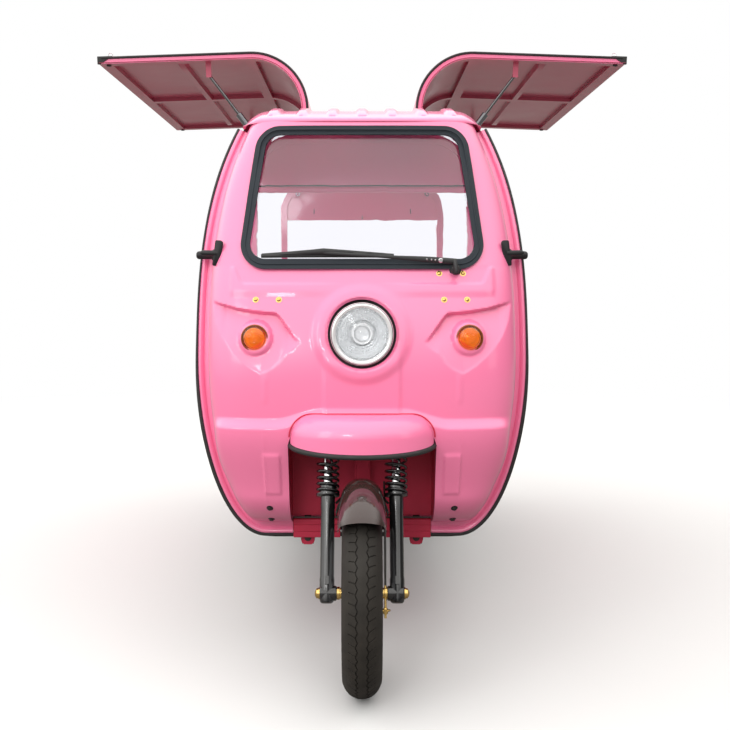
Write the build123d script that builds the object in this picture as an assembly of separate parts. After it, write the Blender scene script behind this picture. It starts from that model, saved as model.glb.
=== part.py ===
from build123d import *
import math
import os

# Electric food trike: one steered front wheel, a narrow cab with an open doorway on each side, and a
# vending box behind it whose two side hatches lift on gas struts. Millimetres, +Z up, the front faces -Y,
# origin on the ground under the middle of the outer box. The hatches are drawn lifted, ready for sale.

os.makedirs("parts", exist_ok=True)

# ---- driving dimensions --------------------------------------------------------------------------
OVERALL_LENGTH = 2800.0
WHEELBASE = 2000.0
BODY_WIDTH = 830.0
BOX_LENGTH = 1500.0
ROOF_HEIGHT = 1545.0
REAR_TRACK = 720.0
RUN_GAP = 0.3
MOVE_GAP = 5.5

TYRE_RADIUS = 250.0
TYRE_WIDTH = 95.0
TYRE_SECTION = 47.0
RIM_RADIUS = 165.0
RIM_WIDTH = 72.0
HUB_RADIUS = 34.0
HUB_LENGTH = 80.0
AXLE_RADIUS = 10.0
STUB_RADIUS = 15.0
AXLE_TUBE_RADIUS = 32.0
MOTOR_HALF = 100.0
MOTOR_RADIUS = 95.0
SPRING_REACH = 270.0

RAKE = 22.0
FORK_X = 87.0
SLIDER_RADIUS = 18.5
SLIDER_TOP = 272.0
STANCHION_RADIUS = 12.5
SPRING_RADIUS = 30.0
SPRING_TOP = 350.0
CLAMP_THICKNESS = 25.0
HEAD_RADIUS = 24.0
HEAD_BOTTOM = 410.0
HEAD_TOP = 600.0
STEM_RADIUS = 14.0
STEM_TOP = 740.0
GUARD_CLEARANCE = 12.0
GUARD_START = 50.0
GUARD_END = 165.0
GUARD_THICKNESS = 5.0
GUARD_HALF = 50.0
GRIP_RADIUS = 16.0
BAR_RADIUS = 11.0
BAR_HALF = 285.0
BAR_SWEEP = 114.0

RIM_HALF_WIDTH = 450.0
RIM_HALF_FOOT = 262.0
RIM_HALF_TOP = 360.0
RIM_BOTTOM = 328.0
RIM_WAIST = 830.0
RIM_TOP = 1466.0
RIM_UPRIGHT = 620.0
RIM_LEAN = 270.0
RIM_BACK = 300.0
NOSE_BACK = 120.0
NOSE_HEIGHT = 740.0
SCREEN_FOOT = 1050.0
SCREEN_RAKE = 27.0
BELLY_SWEEP = 80.0
FOOT_ROUND = 90.0
FACE_POWER = 4.5
FLANGE = 40.0
FLANGE_THICKNESS = 14.0
SHELL_RETURN = 20.0
PANEL = 12.0
TRIM = 4.0

SCREEN_HALF_LOW = 316.0
SCREEN_HALF_HIGH = 277.0
SCREEN_LOW = 1065.0
SCREEN_HIGH = 1440.0
SCREEN_CORNER = 56.0
SEAL_OUT = 12.0
SEAL_IN = 14.0
SEAL_PROUD = 7.0
GLASS = 5.0
GLASS_INSET = 6.0
LAMP_HEIGHT = 886.0
LAMP_RADIUS = 79.0
LAMP_CLEARANCE = 9.0
LAMP_SEAT = 16.0
LAMP_WALL = 6.0
LAMP_PROUD = 28.0
LAMP_DEPTH = 78.0
SIGNAL_X = 276.0
SIGNAL_HEIGHT = 875.0
SIGNAL_RADIUS = 35.0
SIGNAL_PROUD = 24.0
SIGNAL_STEM = 10.0
MIRROR_HEIGHT = 1093.0
MIRROR_PLATE_HALF = 37.0
MIRROR_PLATE_DEPTH = 60.0
MIRROR_ARM_RADIUS = 11.0
MIRROR_ARM_REACH = 456.0
MIRROR_ARM_BACK = 30.0
WELL_HALF = 190.0
WELL_TOP = 655.0
WELL_WALL = 12.0
WELL_ROOF = 725.0
WELL_BACK = 303.0
HOOD_INSET = 4.0
HOOD_REACH = 108.0
HOOD_TOP = 682.0
HOOD_LIP_FRONT = 585.0
HOOD_LIP_SIDE = 604.0
HOOD_WALL = 8.0
HOOD_ROUND = 58.0
HOOD_STEP = 8.0
WELL_CORNER = 60.0

ROOF_SKIN = 22.0
ROOF_FRONT_HEIGHT = 1518.0
ROOF_FRONT_HALF = 352.0
ROOF_FRONT_CORNER = 83.0
ROOF_SIDE_FOOT = 1385.0

HATCH_THICKNESS = 24.0
HATCH_SKIN = 9.0
HATCH_RAIL = 40.0
HATCH_FOOT = 850.0
HATCH_OPEN = 88.0
HATCH_HINGE_X = 170.0
HINGE_RISE = 7.0
HINGE_BARREL = 6.5
HINGE_PIN = 3.0
HINGE_SHARES = (0.12, 0.5, 0.88)
HINGE_LEAF = 3.0
SHOULDER_RADIUS = 190.0
ARCH_TUBE = 28.0
ARCH_DEPTH = 30.0
HEADER_FOOT = 1322.0
HEADER_SHEET = 12.0
COUNTER_HEIGHT = 1050.0
BULKHEAD = 20.0

CARGO_FLOOR = 550.0
FLOOR_THICKNESS = 15.0
CAB_FLOOR = 370.0
CAB_FLOOR_THICKNESS = 12.0
SIDE_FOOT = 380.0
ARCH_CLEARANCE = 40.0
RAIL_X = 205.0
RAIL_WIDTH = 40.0
RAIL_HEIGHT = 45.0
RAIL_DROP = 60.0
CAB_SILL = 35.0
CROSS_HALF = 290.0
UPRIGHT_X = 150.0
UPRIGHT_RADIUS = 15.0
DOOR_THICKNESS = 25.0
DOOR_PIN = 2.5
DOOR_BARREL = 5.5
PLATE_HALF = 110.0
PLATE_LOW = 425.0
PLATE_HIGH = 505.0
TAIL_INNER = 285.0
TAIL_OUTER = 355.0
TAIL_LOW = 440.0
TAIL_HIGH = 520.0
TAIL_PROUD = 22.0
BUMPER_HALF = 340.0
BUMPER_DROP = 25.0
BUMPER_RADIUS = 15.0
TAB_SPACING = 300.0
TAB_HOLE_RADIUS = 5.0
TAB_HEIGHT = 313.0

STRUT_PIVOT_ANGLE = 47.4
STRUT_PIVOT_INSET = 14.3
STRUT_EYE_INSET = 65.0
STRUT_EYE_DROP = 144.0
STRUT_INBOARD = 16.0
STRUT_TUBE_RADIUS = 11.0
STRUT_STOP = 49.3
STRUT_ROD_RADIUS = 5.0
STRUT_RING_RADIUS = 9.0
STRUT_RING_WIDTH = 8.0
STRUT_PIN_RADIUS = 4.0

SEAT_DEPTH = 350.0
SEAT_HEIGHT = 660.0
SEAT_HALF = 300.0
SEAT_WALL = 12.0
CUSHION_HALF = 310.0
CUSHION_THICKNESS = 80.0
CUSHION_ROUND = 24.0
BACKREST_HALF = 290.0
BACKREST_ROUND = 16.0
BATTERY_HALF = 250.0
BATTERY_HEIGHT = 220.0
PEDAL_X = 100.0
PEDAL_BACK = 120.0

# ---- places that follow from them ----------------------------------------------------------------
FRONT_END = -OVERALL_LENGTH / 2
REAR_END = OVERALL_LENGTH / 2
FRONT_AXLE_Y = FRONT_END + TYRE_RADIUS
REAR_AXLE_Y = FRONT_AXLE_Y + WHEELBASE
HALF_BODY = BODY_WIDTH / 2
BOX_REAR = REAR_END - 2 * BUMPER_RADIUS
BOX_FRONT = BOX_REAR - BOX_LENGTH
RIM_Y = FRONT_AXLE_Y + RIM_BACK
NOSE_Y = FRONT_AXLE_Y + NOSE_BACK
WELL_Y = FRONT_AXLE_Y + WELL_BACK
LAMP_RECESS = LAMP_RADIUS + LAMP_CLEARANCE
GUARD_RADIUS = TYRE_RADIUS + GUARD_CLEARANCE
HOOD_HALF = WELL_HALF - HOOD_INSET
SHOULDER_X = HALF_BODY - SHOULDER_RADIUS
SHOULDER_Z = ROOF_HEIGHT - SHOULDER_RADIUS
ARCH_HALF = HALF_BODY - HATCH_THICKNESS - MOVE_GAP
ARCH_TOP = ROOF_HEIGHT - HATCH_THICKNESS - MOVE_GAP
ARCH_CORNER = SHOULDER_RADIUS - HATCH_THICKNESS - MOVE_GAP
POST_INNER = ARCH_HALF - ARCH_TUBE
HINGE_Z = ROOF_HEIGHT + HINGE_RISE
CARGO_TOP = CARGO_FLOOR + FLOOR_THICKNESS
CAB_TOP = CAB_FLOOR + CAB_FLOOR_THICKNESS
SIDE_TOP = HATCH_FOOT - MOVE_GAP
NOSE_CROSS = RIM_HALF_FOOT - 34
REAR_ARCH_Y = BOX_REAR - ARCH_DEPTH
RAIL_FOOT = CARGO_FLOOR - RAIL_DROP - RAIL_HEIGHT
BUMPER_Z = SIDE_FOOT - BUMPER_DROP
STRUT_PIVOT_RADIUS = ARCH_CORNER - ARCH_TUBE - STRUT_PIVOT_INSET
STRUT_PIVOT = (
    SHOULDER_X + STRUT_PIVOT_RADIUS * math.cos(math.radians(STRUT_PIVOT_ANGLE)),
    SHOULDER_Z + STRUT_PIVOT_RADIUS * math.sin(math.radians(STRUT_PIVOT_ANGLE)),
)
STRUT_EYE = (HALF_BODY - STRUT_EYE_INSET, SHOULDER_Z - STRUT_EYE_DROP)
STRUT_TUBE_LENGTH = math.dist(STRUT_PIVOT, STRUT_EYE) - STRUT_STOP
WIDE = 2 * BODY_WIDTH


# ---- small shape helpers -------------------------------------------------------------------------
def block(x0, x1, y0, y1, z0, z1):
    """A box between two corners."""
    return Pos((x0 + x1) / 2, (y0 + y1) / 2, (z0 + z1) / 2) * Box(x1 - x0, y1 - y0, z1 - z0)


def bar(start, end, radius):
    """A round bar from one point to another."""
    axis = Vector(*end) - Vector(*start)
    plane = Plane(origin=Vector(*start), z_dir=axis)
    return plane * Cylinder(radius, axis.length, align=(Align.CENTER, Align.CENTER, Align.MIN))


def slab_x(outline, x0, x1):
    """A sketch drawn in (y, z) carried along X from x0 to x1."""
    return Pos(x0, 0, 0) * extrude(Plane.YZ * outline, amount=x1 - x0, dir=(1, 0, 0))


def slab_y(outline, y0, y1):
    """A sketch drawn in (x, z) carried along Y from y0 to y1."""
    return Pos(0, y0, 0) * extrude(Plane.XZ * outline, amount=y1 - y0, dir=(0, 1, 0))


def slab_z(outline, z0, z1):
    """A sketch drawn in (x, y) carried along Z from z0 to z1."""
    return Pos(0, 0, z0) * extrude(outline, amount=z1 - z0, dir=(0, 0, 1))


def polygon(*points):
    """A closed outline through plain points."""
    return make_face(Polyline(*points, close=True))


def mirrored(shape):
    """The same piece on the other side of the vehicle."""
    return mirror(shape, about=Plane.YZ)


def group(*shapes):
    """Several pieces that share a node, kept as separate solids."""
    return Compound(children=[solid for shape in shapes for solid in shape.solids()])


def save(shape, name):
    """Writes one node: every solid of the shape in one STEP file."""
    solids = shape.solids()
    whole = solids[0] if len(solids) == 1 else Compound(children=list(solids))
    export_step(whole, f"parts/{name}.step")


def turned(shape, point, axis, degrees):
    """A shape turned about an axis through a point."""
    return shape.rotate(Axis(point, axis), degrees)


# ---- front shell ---------------------------------------------------------------------------------
def rim_half(z):
    """Half the width of the shell's rim: elliptical low corners, then sides that draw in towards the roof."""
    if z < RIM_WAIST:
        drop = (RIM_WAIST - z) / (RIM_WAIST - RIM_BOTTOM)
        swell = math.sqrt(max(0.0, 1 - drop * drop))
        return RIM_HALF_FOOT + (RIM_HALF_WIDTH - RIM_HALF_FOOT) * swell
    rise = (z - RIM_WAIST) / (RIM_TOP - RIM_WAIST)
    return RIM_HALF_WIDTH - (RIM_HALF_WIDTH - RIM_HALF_TOP) * rise**3


def rim_y(z):
    """Where the rim lies fore and aft: upright low down, leaning back to the roof."""
    return RIM_Y + RIM_LEAN * (max(0.0, z - RIM_UPRIGHT) / (RIM_TOP - RIM_UPRIGHT)) ** 2


def nose_y(z):
    """The face's centre line: a swept belly, an upright nose, then the raked screen."""
    slope = math.tan(math.radians(SCREEN_RAKE))
    if z < NOSE_HEIGHT:
        return NOSE_Y + BELLY_SWEEP * ((NOSE_HEIGHT - z) / (NOSE_HEIGHT - RIM_BOTTOM)) ** 2
    bend = SCREEN_FOOT - NOSE_HEIGHT
    if z < SCREEN_FOOT:
        return NOSE_Y + 0.5 * slope * (z - NOSE_HEIGHT) ** 2 / bend
    return NOSE_Y + slope * (0.5 * bend + z - SCREEN_FOOT)


def face_depth(z, grow):
    """How far the face stands in front of the rim line, drawn in at the rounded foot."""
    foot = RIM_BOTTOM + FLANGE - grow
    lift = min(1.0, max(0.0, (z - foot) / FOOT_ROUND))
    fill = 0.08 + 0.92 * math.sqrt(1 - (1 - lift) ** 2)
    return (rim_y(z) - nose_y(z)) * fill + grow


def face_y(x, z, grow=0.0):
    """The shell's outer surface, or a copy of it grown outward."""
    half = rim_half(z) - FLANGE + grow
    share = min(1.0, abs(x) / half)
    return rim_y(z) - face_depth(z, grow) * (1 - share**FACE_POWER) ** (1 / FACE_POWER)


def plan_section(z, grow, back):
    """The shell body cut at one height: a squarish nose in front of a straight back."""
    half = rim_half(z) - FLANGE + grow
    depth = face_depth(z, grow)
    front, rear = rim_y(z), rim_y(z) + back
    points = [(-half, front)]
    for step in range(1, 16):
        turn = math.pi * step / 16
        across, ahead = math.cos(turn), math.sin(turn)
        x = -math.copysign(abs(across) ** (2 / FACE_POWER), across) * half
        points.append((x, front - depth * ahead ** (2 / FACE_POWER)))
    points.append((half, front))
    sides = Polyline((half, front), (half, rear), (-half, rear), (-half, front))
    return Pos(0, 0, z) * make_face([Spline(*points), *sides.edges()])


def shell_body(grow, back):
    """The solid behind the face, grown outward by one value and carried back past the rim by another."""
    foot = RIM_BOTTOM + FLANGE - grow
    low = [foot, foot + 12, foot + 35, foot + FOOT_ROUND, 520, 620, NOSE_HEIGHT]
    high = [900, SCREEN_FOOT, 1200, 1340, RIM_TOP]
    return loft([plan_section(z, grow, back) for z in low + high])


def face_layer(outward, inward):
    """A sheet that follows the face between two depths."""
    return shell_body(outward, 4) - shell_body(inward, 60)


def rim_outline(inset):
    """The rim seen from the front, drawn in by an inset."""
    half, foot, top_half = RIM_HALF_WIDTH - inset, RIM_BOTTOM + inset, RIM_HALF_TOP - inset
    rise = (RIM_TOP - RIM_WAIST) / 3
    waist = (RIM_HALF_FOOT, RIM_WAIST)
    corner = EllipticalCenterArc(waist, half - RIM_HALF_FOOT, RIM_WAIST - foot, 270, arc_size=90)
    upright = [(half, RIM_WAIST + rise * step) for step in range(3)]
    side = Bezier(*upright, (top_half, RIM_TOP))
    base = Line((-RIM_HALF_FOOT, foot), (RIM_HALF_FOOT, foot))
    top = Line((top_half, RIM_TOP), (-top_half, RIM_TOP))
    left = [mirror(line, about=Plane.YZ) for line in (corner, side)]
    return make_face([base, corner, side, top, *left])


def rim_band(front, rear):
    """The slab that follows the rim's lean between two distances from it."""
    def line(back):
        foot = Line((RIM_Y + back, RIM_BOTTOM - 50), (RIM_Y + back, RIM_UPRIGHT))
        middle = (RIM_Y + back, (RIM_UPRIGHT + RIM_TOP) / 2)
        lean = Bezier((RIM_Y + back, RIM_UPRIGHT), middle, (RIM_Y + RIM_LEAN + back, RIM_TOP))
        return [foot, lean]
    low = Line((RIM_Y + front, RIM_BOTTOM - 50), (RIM_Y + rear, RIM_BOTTOM - 50))
    high = Line((RIM_Y + RIM_LEAN + front, RIM_TOP), (RIM_Y + RIM_LEAN + rear, RIM_TOP))
    return slab_x(make_face([*line(front), *line(rear), low, high]), -WIDE, WIDE)


def rim_ring(outset, inset, front, rear):
    """A hoop round the rim."""
    ring = rim_outline(-outset) - rim_outline(inset)
    return slab_y(ring, RIM_Y - 200, RIM_Y + 600) & rim_band(front, rear)


def screen_outline(inset):
    """The windscreen's rounded trapezium in the front view, drawn in by an inset."""
    shape = polygon(
        (-SCREEN_HALF_LOW + inset, SCREEN_LOW + inset),
        (SCREEN_HALF_LOW - inset, SCREEN_LOW + inset),
        (SCREEN_HALF_HIGH - inset, SCREEN_HIGH - inset),
        (-SCREEN_HALF_HIGH + inset, SCREEN_HIGH - inset),
    )
    return fillet(shape.vertices(), SCREEN_CORNER - inset)


def screen_prism(inset):
    return slab_y(screen_outline(inset), NOSE_Y - 200, NOSE_Y + 600)


def along_y(x, z, radius, y0, y1):
    """A round plug along Y."""
    return bar((x, y0, z), (x, y1, z), radius)


def axle_bar(x0, x1, y, radius):
    """A round bar across the vehicle at wheel-centre height."""
    return bar((x0, y, TYRE_RADIUS), (x1, y, TYRE_RADIUS), radius)


outer_body = shell_body(0, SHELL_RETURN)
front_shell = outer_body - shell_body(-PANEL, 60)
front_shell += rim_ring(0, FLANGE + PANEL / 2, 0, FLANGE_THICKNESS)
front_shell -= screen_prism(0)
front_shell -= along_y(0, LAMP_HEIGHT, LAMP_RECESS, NOSE_Y - 100, NOSE_Y + 150)
for x in (-SIGNAL_X, SIGNAL_X):
    front_shell -= along_y(x, SIGNAL_HEIGHT, SIGNAL_STEM + RUN_GAP, NOSE_Y - 150, RIM_Y + 100)
well_mouth = polygon((-WELL_HALF, 200), (WELL_HALF, 200), (WELL_HALF, WELL_TOP), (-WELL_HALF, WELL_TOP))
well_mouth = fillet(well_mouth.vertices().group_by(Axis.Y)[-1], WELL_CORNER)
front_shell -= slab_y(well_mouth, NOSE_Y - 200, NOSE_Y + 400)
save(front_shell, "front_shell")

rim_trim = rim_ring(TRIM, 10, -TRIM, FLANGE_THICKNESS + TRIM) - rim_ring(0, 12, 0, FLANGE_THICKNESS)
rim_trim -= block(-WIDE, WIDE, FRONT_END, REAR_END, RIM_TOP - 20, 2 * RIM_TOP)

windscreen = face_layer(-3.5, -3.5 - GLASS) & screen_prism(GLASS_INSET)
save(windscreen, "windscreen")
seal = face_layer(SEAL_PROUD, -PANEL - 5) & (screen_prism(-SEAL_OUT) - screen_prism(SEAL_IN))
seal = seal - front_shell - windscreen
save(seal, "windscreen_seal")


# ---- lamps, wiper, mirror mounts -----------------------------------------------------------------
lamp_y = nose_y(LAMP_HEIGHT)
lamp_front = lamp_y - LAMP_PROUD
lamp_back = lamp_front + LAMP_DEPTH
lamp_bore = LAMP_RADIUS - LAMP_WALL
headlight_cup = along_y(0, LAMP_HEIGHT, LAMP_RADIUS, lamp_front, lamp_back)
headlight_cup -= along_y(0, LAMP_HEIGHT, lamp_bore, lamp_front - 1, lamp_back - LAMP_WALL)
lamp_seat = face_layer(-PANEL - RUN_GAP, -PANEL - 5)
lamp_seat &= along_y(0, LAMP_HEIGHT, LAMP_RECESS + LAMP_SEAT, lamp_y - 200, lamp_y + 200)
headlight_cup += lamp_seat - along_y(0, LAMP_HEIGHT, lamp_bore, lamp_y - 200, lamp_y + 200)
save(headlight_cup, "headlight_bezel")
lens = along_y(0, LAMP_HEIGHT, lamp_bore - RUN_GAP, lamp_front + 4, lamp_front + 12)
save(lens, "headlight_lens")

signal_y = face_y(SIGNAL_X, SIGNAL_HEIGHT)
signal = along_y(SIGNAL_X, SIGNAL_HEIGHT, SIGNAL_RADIUS, signal_y - SIGNAL_PROUD, signal_y + 40) - outer_body
signal += along_y(SIGNAL_X, SIGNAL_HEIGHT, SIGNAL_STEM, signal_y - 4, signal_y + 40)
save(group(signal, mirrored(signal)), "turn_signals")

PIVOT = (234.0, 1050.0)
ARM_END = (-95.0, 1096.0)
BLADE = ((-263.0, 1092.0), (83.0, 1088.0))
pivot_y = face_y(*PIVOT)
wiper = along_y(*PIVOT, 11, pivot_y - 22, pivot_y + 10) - shell_body(SEAL_PROUD + RUN_GAP, 4)
arm_y = face_y(*ARM_END) - 18
wiper += bar((PIVOT[0], pivot_y - 18, PIVOT[1]), (ARM_END[0], arm_y, ARM_END[1]), 4)
blade_ends = [(x, face_y(x, z) - 14, z) for x, z in BLADE]
wiper += bar(*blade_ends, 5)
save(wiper, "wiper")

mount_y = rim_y(MIRROR_HEIGHT)
plate_x = rim_half(MIRROR_HEIGHT) - FLANGE
arm_start = (plate_x - 12, mount_y - MIRROR_ARM_BACK, MIRROR_HEIGHT)
arm_end = (MIRROR_ARM_REACH, mount_y - MIRROR_ARM_BACK, MIRROR_HEIGHT)
plate_low, plate_high = MIRROR_HEIGHT - MIRROR_PLATE_HALF, MIRROR_HEIGHT + MIRROR_PLATE_HALF
plate_front = mount_y - MIRROR_PLATE_DEPTH
mirror_mount = block(plate_x - 28, plate_x + 6, plate_front, mount_y - 1, plate_low, plate_high)
mirror_mount += bar(arm_start, arm_end, MIRROR_ARM_RADIUS)
mirror_mount = mirror_mount - outer_body - rim_ring(0, FLANGE, 0, FLANGE_THICKNESS)
save(group(mirror_mount, mirrored(mirror_mount)), "mirror_mounts")

# ---- wheel well and nose hood --------------------------------------------------------------------
axis_y = math.sin(math.radians(RAKE))
axis_z = math.cos(math.radians(RAKE))


def on_axis(along, x=0.0, ahead=0.0):
    """A point given along the steering axis from the wheel's centre, beside it and ahead of it."""
    y = FRONT_AXLE_Y + along * axis_y - ahead * axis_z
    return (x, y, TYRE_RADIUS + along * axis_z + ahead * axis_y)


well_side = WELL_HALF + WELL_WALL
well = block(-well_side, well_side, FRONT_END, WELL_Y + WELL_WALL, 300, WELL_ROOF + WELL_WALL)
well -= block(-WELL_HALF, WELL_HALF, FRONT_END, WELL_Y, 200, WELL_ROOF)
well &= shell_body(-PANEL - RUN_GAP, 60)
well -= bar(on_axis(300), on_axis(800), HEAD_RADIUS + 10)
save(well, "wheel_well")


def hood_form(grow):
    """The nose hood's rounded half-dome, grown by a value."""
    centre_y = NOSE_Y + HOOD_STEP
    dome = Pos(0, centre_y, 0) * slab_z(Ellipse(HOOD_HALF + grow, HOOD_REACH + grow), 480, HOOD_TOP + grow)
    return fillet(dome.edges().group_by(Axis.Z)[-1], HOOD_ROUND + grow)


def hood_lip(below):
    """Everything under the hood's slanting lip, shifted down by a value."""
    slope = (HOOD_LIP_SIDE - HOOD_LIP_FRONT) / HOOD_REACH
    front, rear = NOSE_Y - 300, NOSE_Y + 200
    z_front = HOOD_LIP_SIDE + slope * (front - NOSE_Y) - below
    z_rear = HOOD_LIP_SIDE + slope * (rear - NOSE_Y) - below
    return slab_x(polygon((front, 300), (rear, 300), (rear, z_rear), (front, z_front)), -WIDE, WIDE)


hood = hood_form(0) - hood_form(-HOOD_WALL) - hood_lip(0) - outer_body
save(hood, "nose_hood")
hood_trim = (hood_form(3) - hood_form(-HOOD_WALL - 3)) & (hood_lip(-9) - hood_lip(4))
hood_trim = hood_trim - hood - outer_body
save(group(rim_trim, hood_trim), "rubber_edging")


# ---- cab roof ------------------------------------------------------------------------------------
def roof_section(y, half, top, corner, foot):
    """The roof cut across: straight sides and two rounded shoulders."""
    shape = polygon((-half, foot), (half, foot), (half, top), (-half, top))
    shape = fillet(shape.vertices().group_by(Axis.Y)[-1], corner)
    return Pos(0, y, 0) * (Plane.XZ * shape)


ROOF_NOSE_Y = nose_y(RIM_TOP) - 4
ROOF_BEND_Y = rim_y(RIM_TOP)
roof_nose_half = rim_half(RIM_TOP) - FLANGE + 4
ROOF_EDGE = RIM_TOP + 12
roof_outer = loft([
    roof_section(ROOF_NOSE_Y, roof_nose_half, ROOF_EDGE, 40, 1300),
    roof_section(ROOF_BEND_Y, ROOF_FRONT_HALF, ROOF_FRONT_HEIGHT, ROOF_FRONT_CORNER, 1300),
    roof_section(BOX_FRONT - RUN_GAP, HALF_BODY, ROOF_HEIGHT, SHOULDER_RADIUS, 1300),
])
inner_front = (ROOF_FRONT_HALF - ROOF_SKIN, ROOF_FRONT_HEIGHT - ROOF_SKIN, ROOF_FRONT_CORNER - ROOF_SKIN)
inner_rear = (HALF_BODY - ROOF_SKIN, ROOF_HEIGHT - ROOF_SKIN, SHOULDER_RADIUS - ROOF_SKIN)
roof_inner = loft([
    roof_section(ROOF_NOSE_Y + 30, roof_nose_half - ROOF_SKIN, ROOF_EDGE - ROOF_SKIN + 6, 30, 1200),
    roof_section(ROOF_BEND_Y, *inner_front, 1200),
    roof_section(BOX_FRONT + 10, *inner_rear, 1200),
])
cab_roof = roof_outer - roof_inner
roof_rest = ROOF_BEND_Y + FLANGE_THICKNESS + 6.5
cab_roof -= block(-WIDE, WIDE, FRONT_END, roof_rest, 1000, RIM_TOP + RUN_GAP)
cab_roof -= block(-WIDE, WIDE, FRONT_END, REAR_END, 1000, ROOF_SIDE_FOOT)
save(cab_roof, "cab_roof")


# ---- chassis -------------------------------------------------------------------------------------
FRAME_FRONT = RIM_Y + SHELL_RETURN + RUN_GAP
RAIL_TOP = CARGO_FLOOR - RAIL_DROP
RAIL_FRONT = FRAME_FRONT + RAIL_WIDTH
SPRING_EYE = SPRING_REACH + 22
RAIL_RISE_END = min(BOX_FRONT + 190, REAR_AXLE_Y - SPRING_EYE - 15)
rail_outline = polygon(
    (RAIL_FRONT, CAB_FLOOR - 40), (BOX_FRONT + 70, CAB_FLOOR - 40),
    (RAIL_RISE_END, RAIL_FOOT), (REAR_ARCH_Y, RAIL_FOOT),
    (REAR_ARCH_Y, RAIL_TOP), (RAIL_RISE_END - 20, RAIL_TOP),
    (BOX_FRONT + 50, CAB_FLOOR), (RAIL_FRONT, CAB_FLOOR),
)
rail = slab_x(rail_outline, RAIL_X - RAIL_WIDTH / 2, RAIL_X + RAIL_WIDTH / 2)
cross_members = []
first_cross = RAIL_RISE_END - 10
second_cross = max(REAR_AXLE_Y - 370, first_cross + 60)
for y in (first_cross, second_cross, REAR_AXLE_Y + 370, REAR_ARCH_Y - 40):
    cross_members.append(block(-CROSS_HALF, CROSS_HALF, y, y + 40, RAIL_TOP, CARGO_FLOOR))
save(group(rail, mirrored(rail), *cross_members), "chassis_rails")

head_middle = (HEAD_BOTTOM + HEAD_TOP) / 2 + 50
neck_z = on_axis(head_middle)[2]
upright_y = FRAME_FRONT + 16
frame = block(-NOSE_CROSS, NOSE_CROSS, FRAME_FRONT, RAIL_FRONT, CAB_FLOOR - CAB_SILL, CAB_FLOOR)
for x in (-UPRIGHT_X, UPRIGHT_X):
    frame += bar((x, upright_y, CAB_FLOOR - 10), (x, upright_y, neck_z + UPRIGHT_RADIUS), UPRIGHT_RADIUS)
crosstube = UPRIGHT_X + UPRIGHT_RADIUS
frame += bar((-crosstube, upright_y, neck_z), (crosstube, upright_y, neck_z), UPRIGHT_RADIUS)
frame += bar(on_axis(head_middle), (0, upright_y, neck_z), UPRIGHT_RADIUS)
frame += bar(on_axis(HEAD_BOTTOM), on_axis(HEAD_TOP), HEAD_RADIUS)
frame -= bar(on_axis(HEAD_BOTTOM - 10), on_axis(HEAD_TOP + 10), STEM_RADIUS + RUN_GAP)
for tab_x in (-TAB_SPACING / 2, TAB_SPACING / 2):
    frame += block(tab_x - 16, tab_x + 16, FRAME_FRONT, FRAME_FRONT + 6, TAB_HEIGHT - 17, CAB_FLOOR)
    frame -= along_y(tab_x, TAB_HEIGHT, TAB_HOLE_RADIUS, FRAME_FRONT - 1, FRAME_FRONT + 7)
save(frame, "steering_neck")

bumper_y = REAR_END - BUMPER_RADIUS
bumper = bar((-BUMPER_HALF, bumper_y, BUMPER_Z), (BUMPER_HALF, bumper_y, BUMPER_Z), BUMPER_RADIUS)
for x in (-RAIL_X, RAIL_X):
    left, right = x - RAIL_WIDTH / 2, x + RAIL_WIDTH / 2
    bumper += block(left, right, REAR_ARCH_Y - 40, REAR_ARCH_Y, BUMPER_Z - 15, RAIL_FOOT)
    bumper += block(left, right, REAR_ARCH_Y - 40, bumper_y, BUMPER_Z - 12, BUMPER_Z + 12)
save(bumper, "rear_bumper")

FLOOR_FRONT = FRAME_FRONT + 4


def floor_outline(inset, extra):
    """The cab floor's plan, wider behind the shell's rim."""
    front, rear = FLOOR_FRONT - extra, BOX_FRONT + 25 + extra
    wide = ARCH_HALF - inset
    narrow = RIM_HALF_FOOT - 12 - inset
    return polygon((-narrow, front), (narrow, front), (wide - 12, RIM_Y + 250), (wide, rear), (-wide, rear),
                   (12 - wide, RIM_Y + 250))


cab_floor = slab_z(floor_outline(0, 0), CAB_FLOOR - CAB_SILL, CAB_TOP)
cab_floor -= slab_z(floor_outline(16, 20), CAB_FLOOR - 40, CAB_FLOOR)
for x in (-UPRIGHT_X, UPRIGHT_X):
    cab_floor -= bar((x, upright_y, CAB_FLOOR - 20), (x, upright_y, CAB_TOP + 20), UPRIGHT_RADIUS + RUN_GAP)
save(cab_floor, "cab_floor")


# ---- vending box ---------------------------------------------------------------------------------
def hoop(half, top, corner, foot):
    """A round-shouldered doorway outline in the front view."""
    shape = polygon((-half, foot), (half, foot), (half, top), (-half, top))
    return fillet(shape.vertices().group_by(Axis.Y)[-1], corner)


arch_outline = hoop(ARCH_HALF, ARCH_TOP, ARCH_CORNER, CARGO_TOP)
arch_hole = hoop(POST_INNER, ARCH_TOP - ARCH_TUBE, ARCH_CORNER - ARCH_TUBE, CARGO_TOP - 50)
arch_ring = arch_outline - arch_hole


def strut_seat(face, into):
    """The plate and pin that carry a strut's lower eye, on an arch's inner face."""
    x, z = STRUT_PIVOT
    near, far = sorted((face, face + into * 4))
    plate = block(x - 14, x + 26, near, far, z - 14, z + 14)
    return plate + bar((x, face, z), (x, face + into * (STRUT_INBOARD + 6), z), STRUT_PIN_RADIUS)


front_seat = strut_seat(BOX_FRONT + ARCH_DEPTH, 1)
rear_seat = strut_seat(REAR_ARCH_Y, -1)
front_arch = slab_y(arch_ring, BOX_FRONT, BOX_FRONT + ARCH_DEPTH)
front_arch = front_arch + front_seat + mirrored(front_seat)
save(front_arch, "front_arch")

DOOR_HINGE = (-POST_INNER + 2.7, BOX_REAR + 6)
DOOR_LOW = CARGO_TOP + MOVE_GAP
DOOR_HEIGHTS = (DOOR_LOW + 55, SIDE_TOP - 55)


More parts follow.
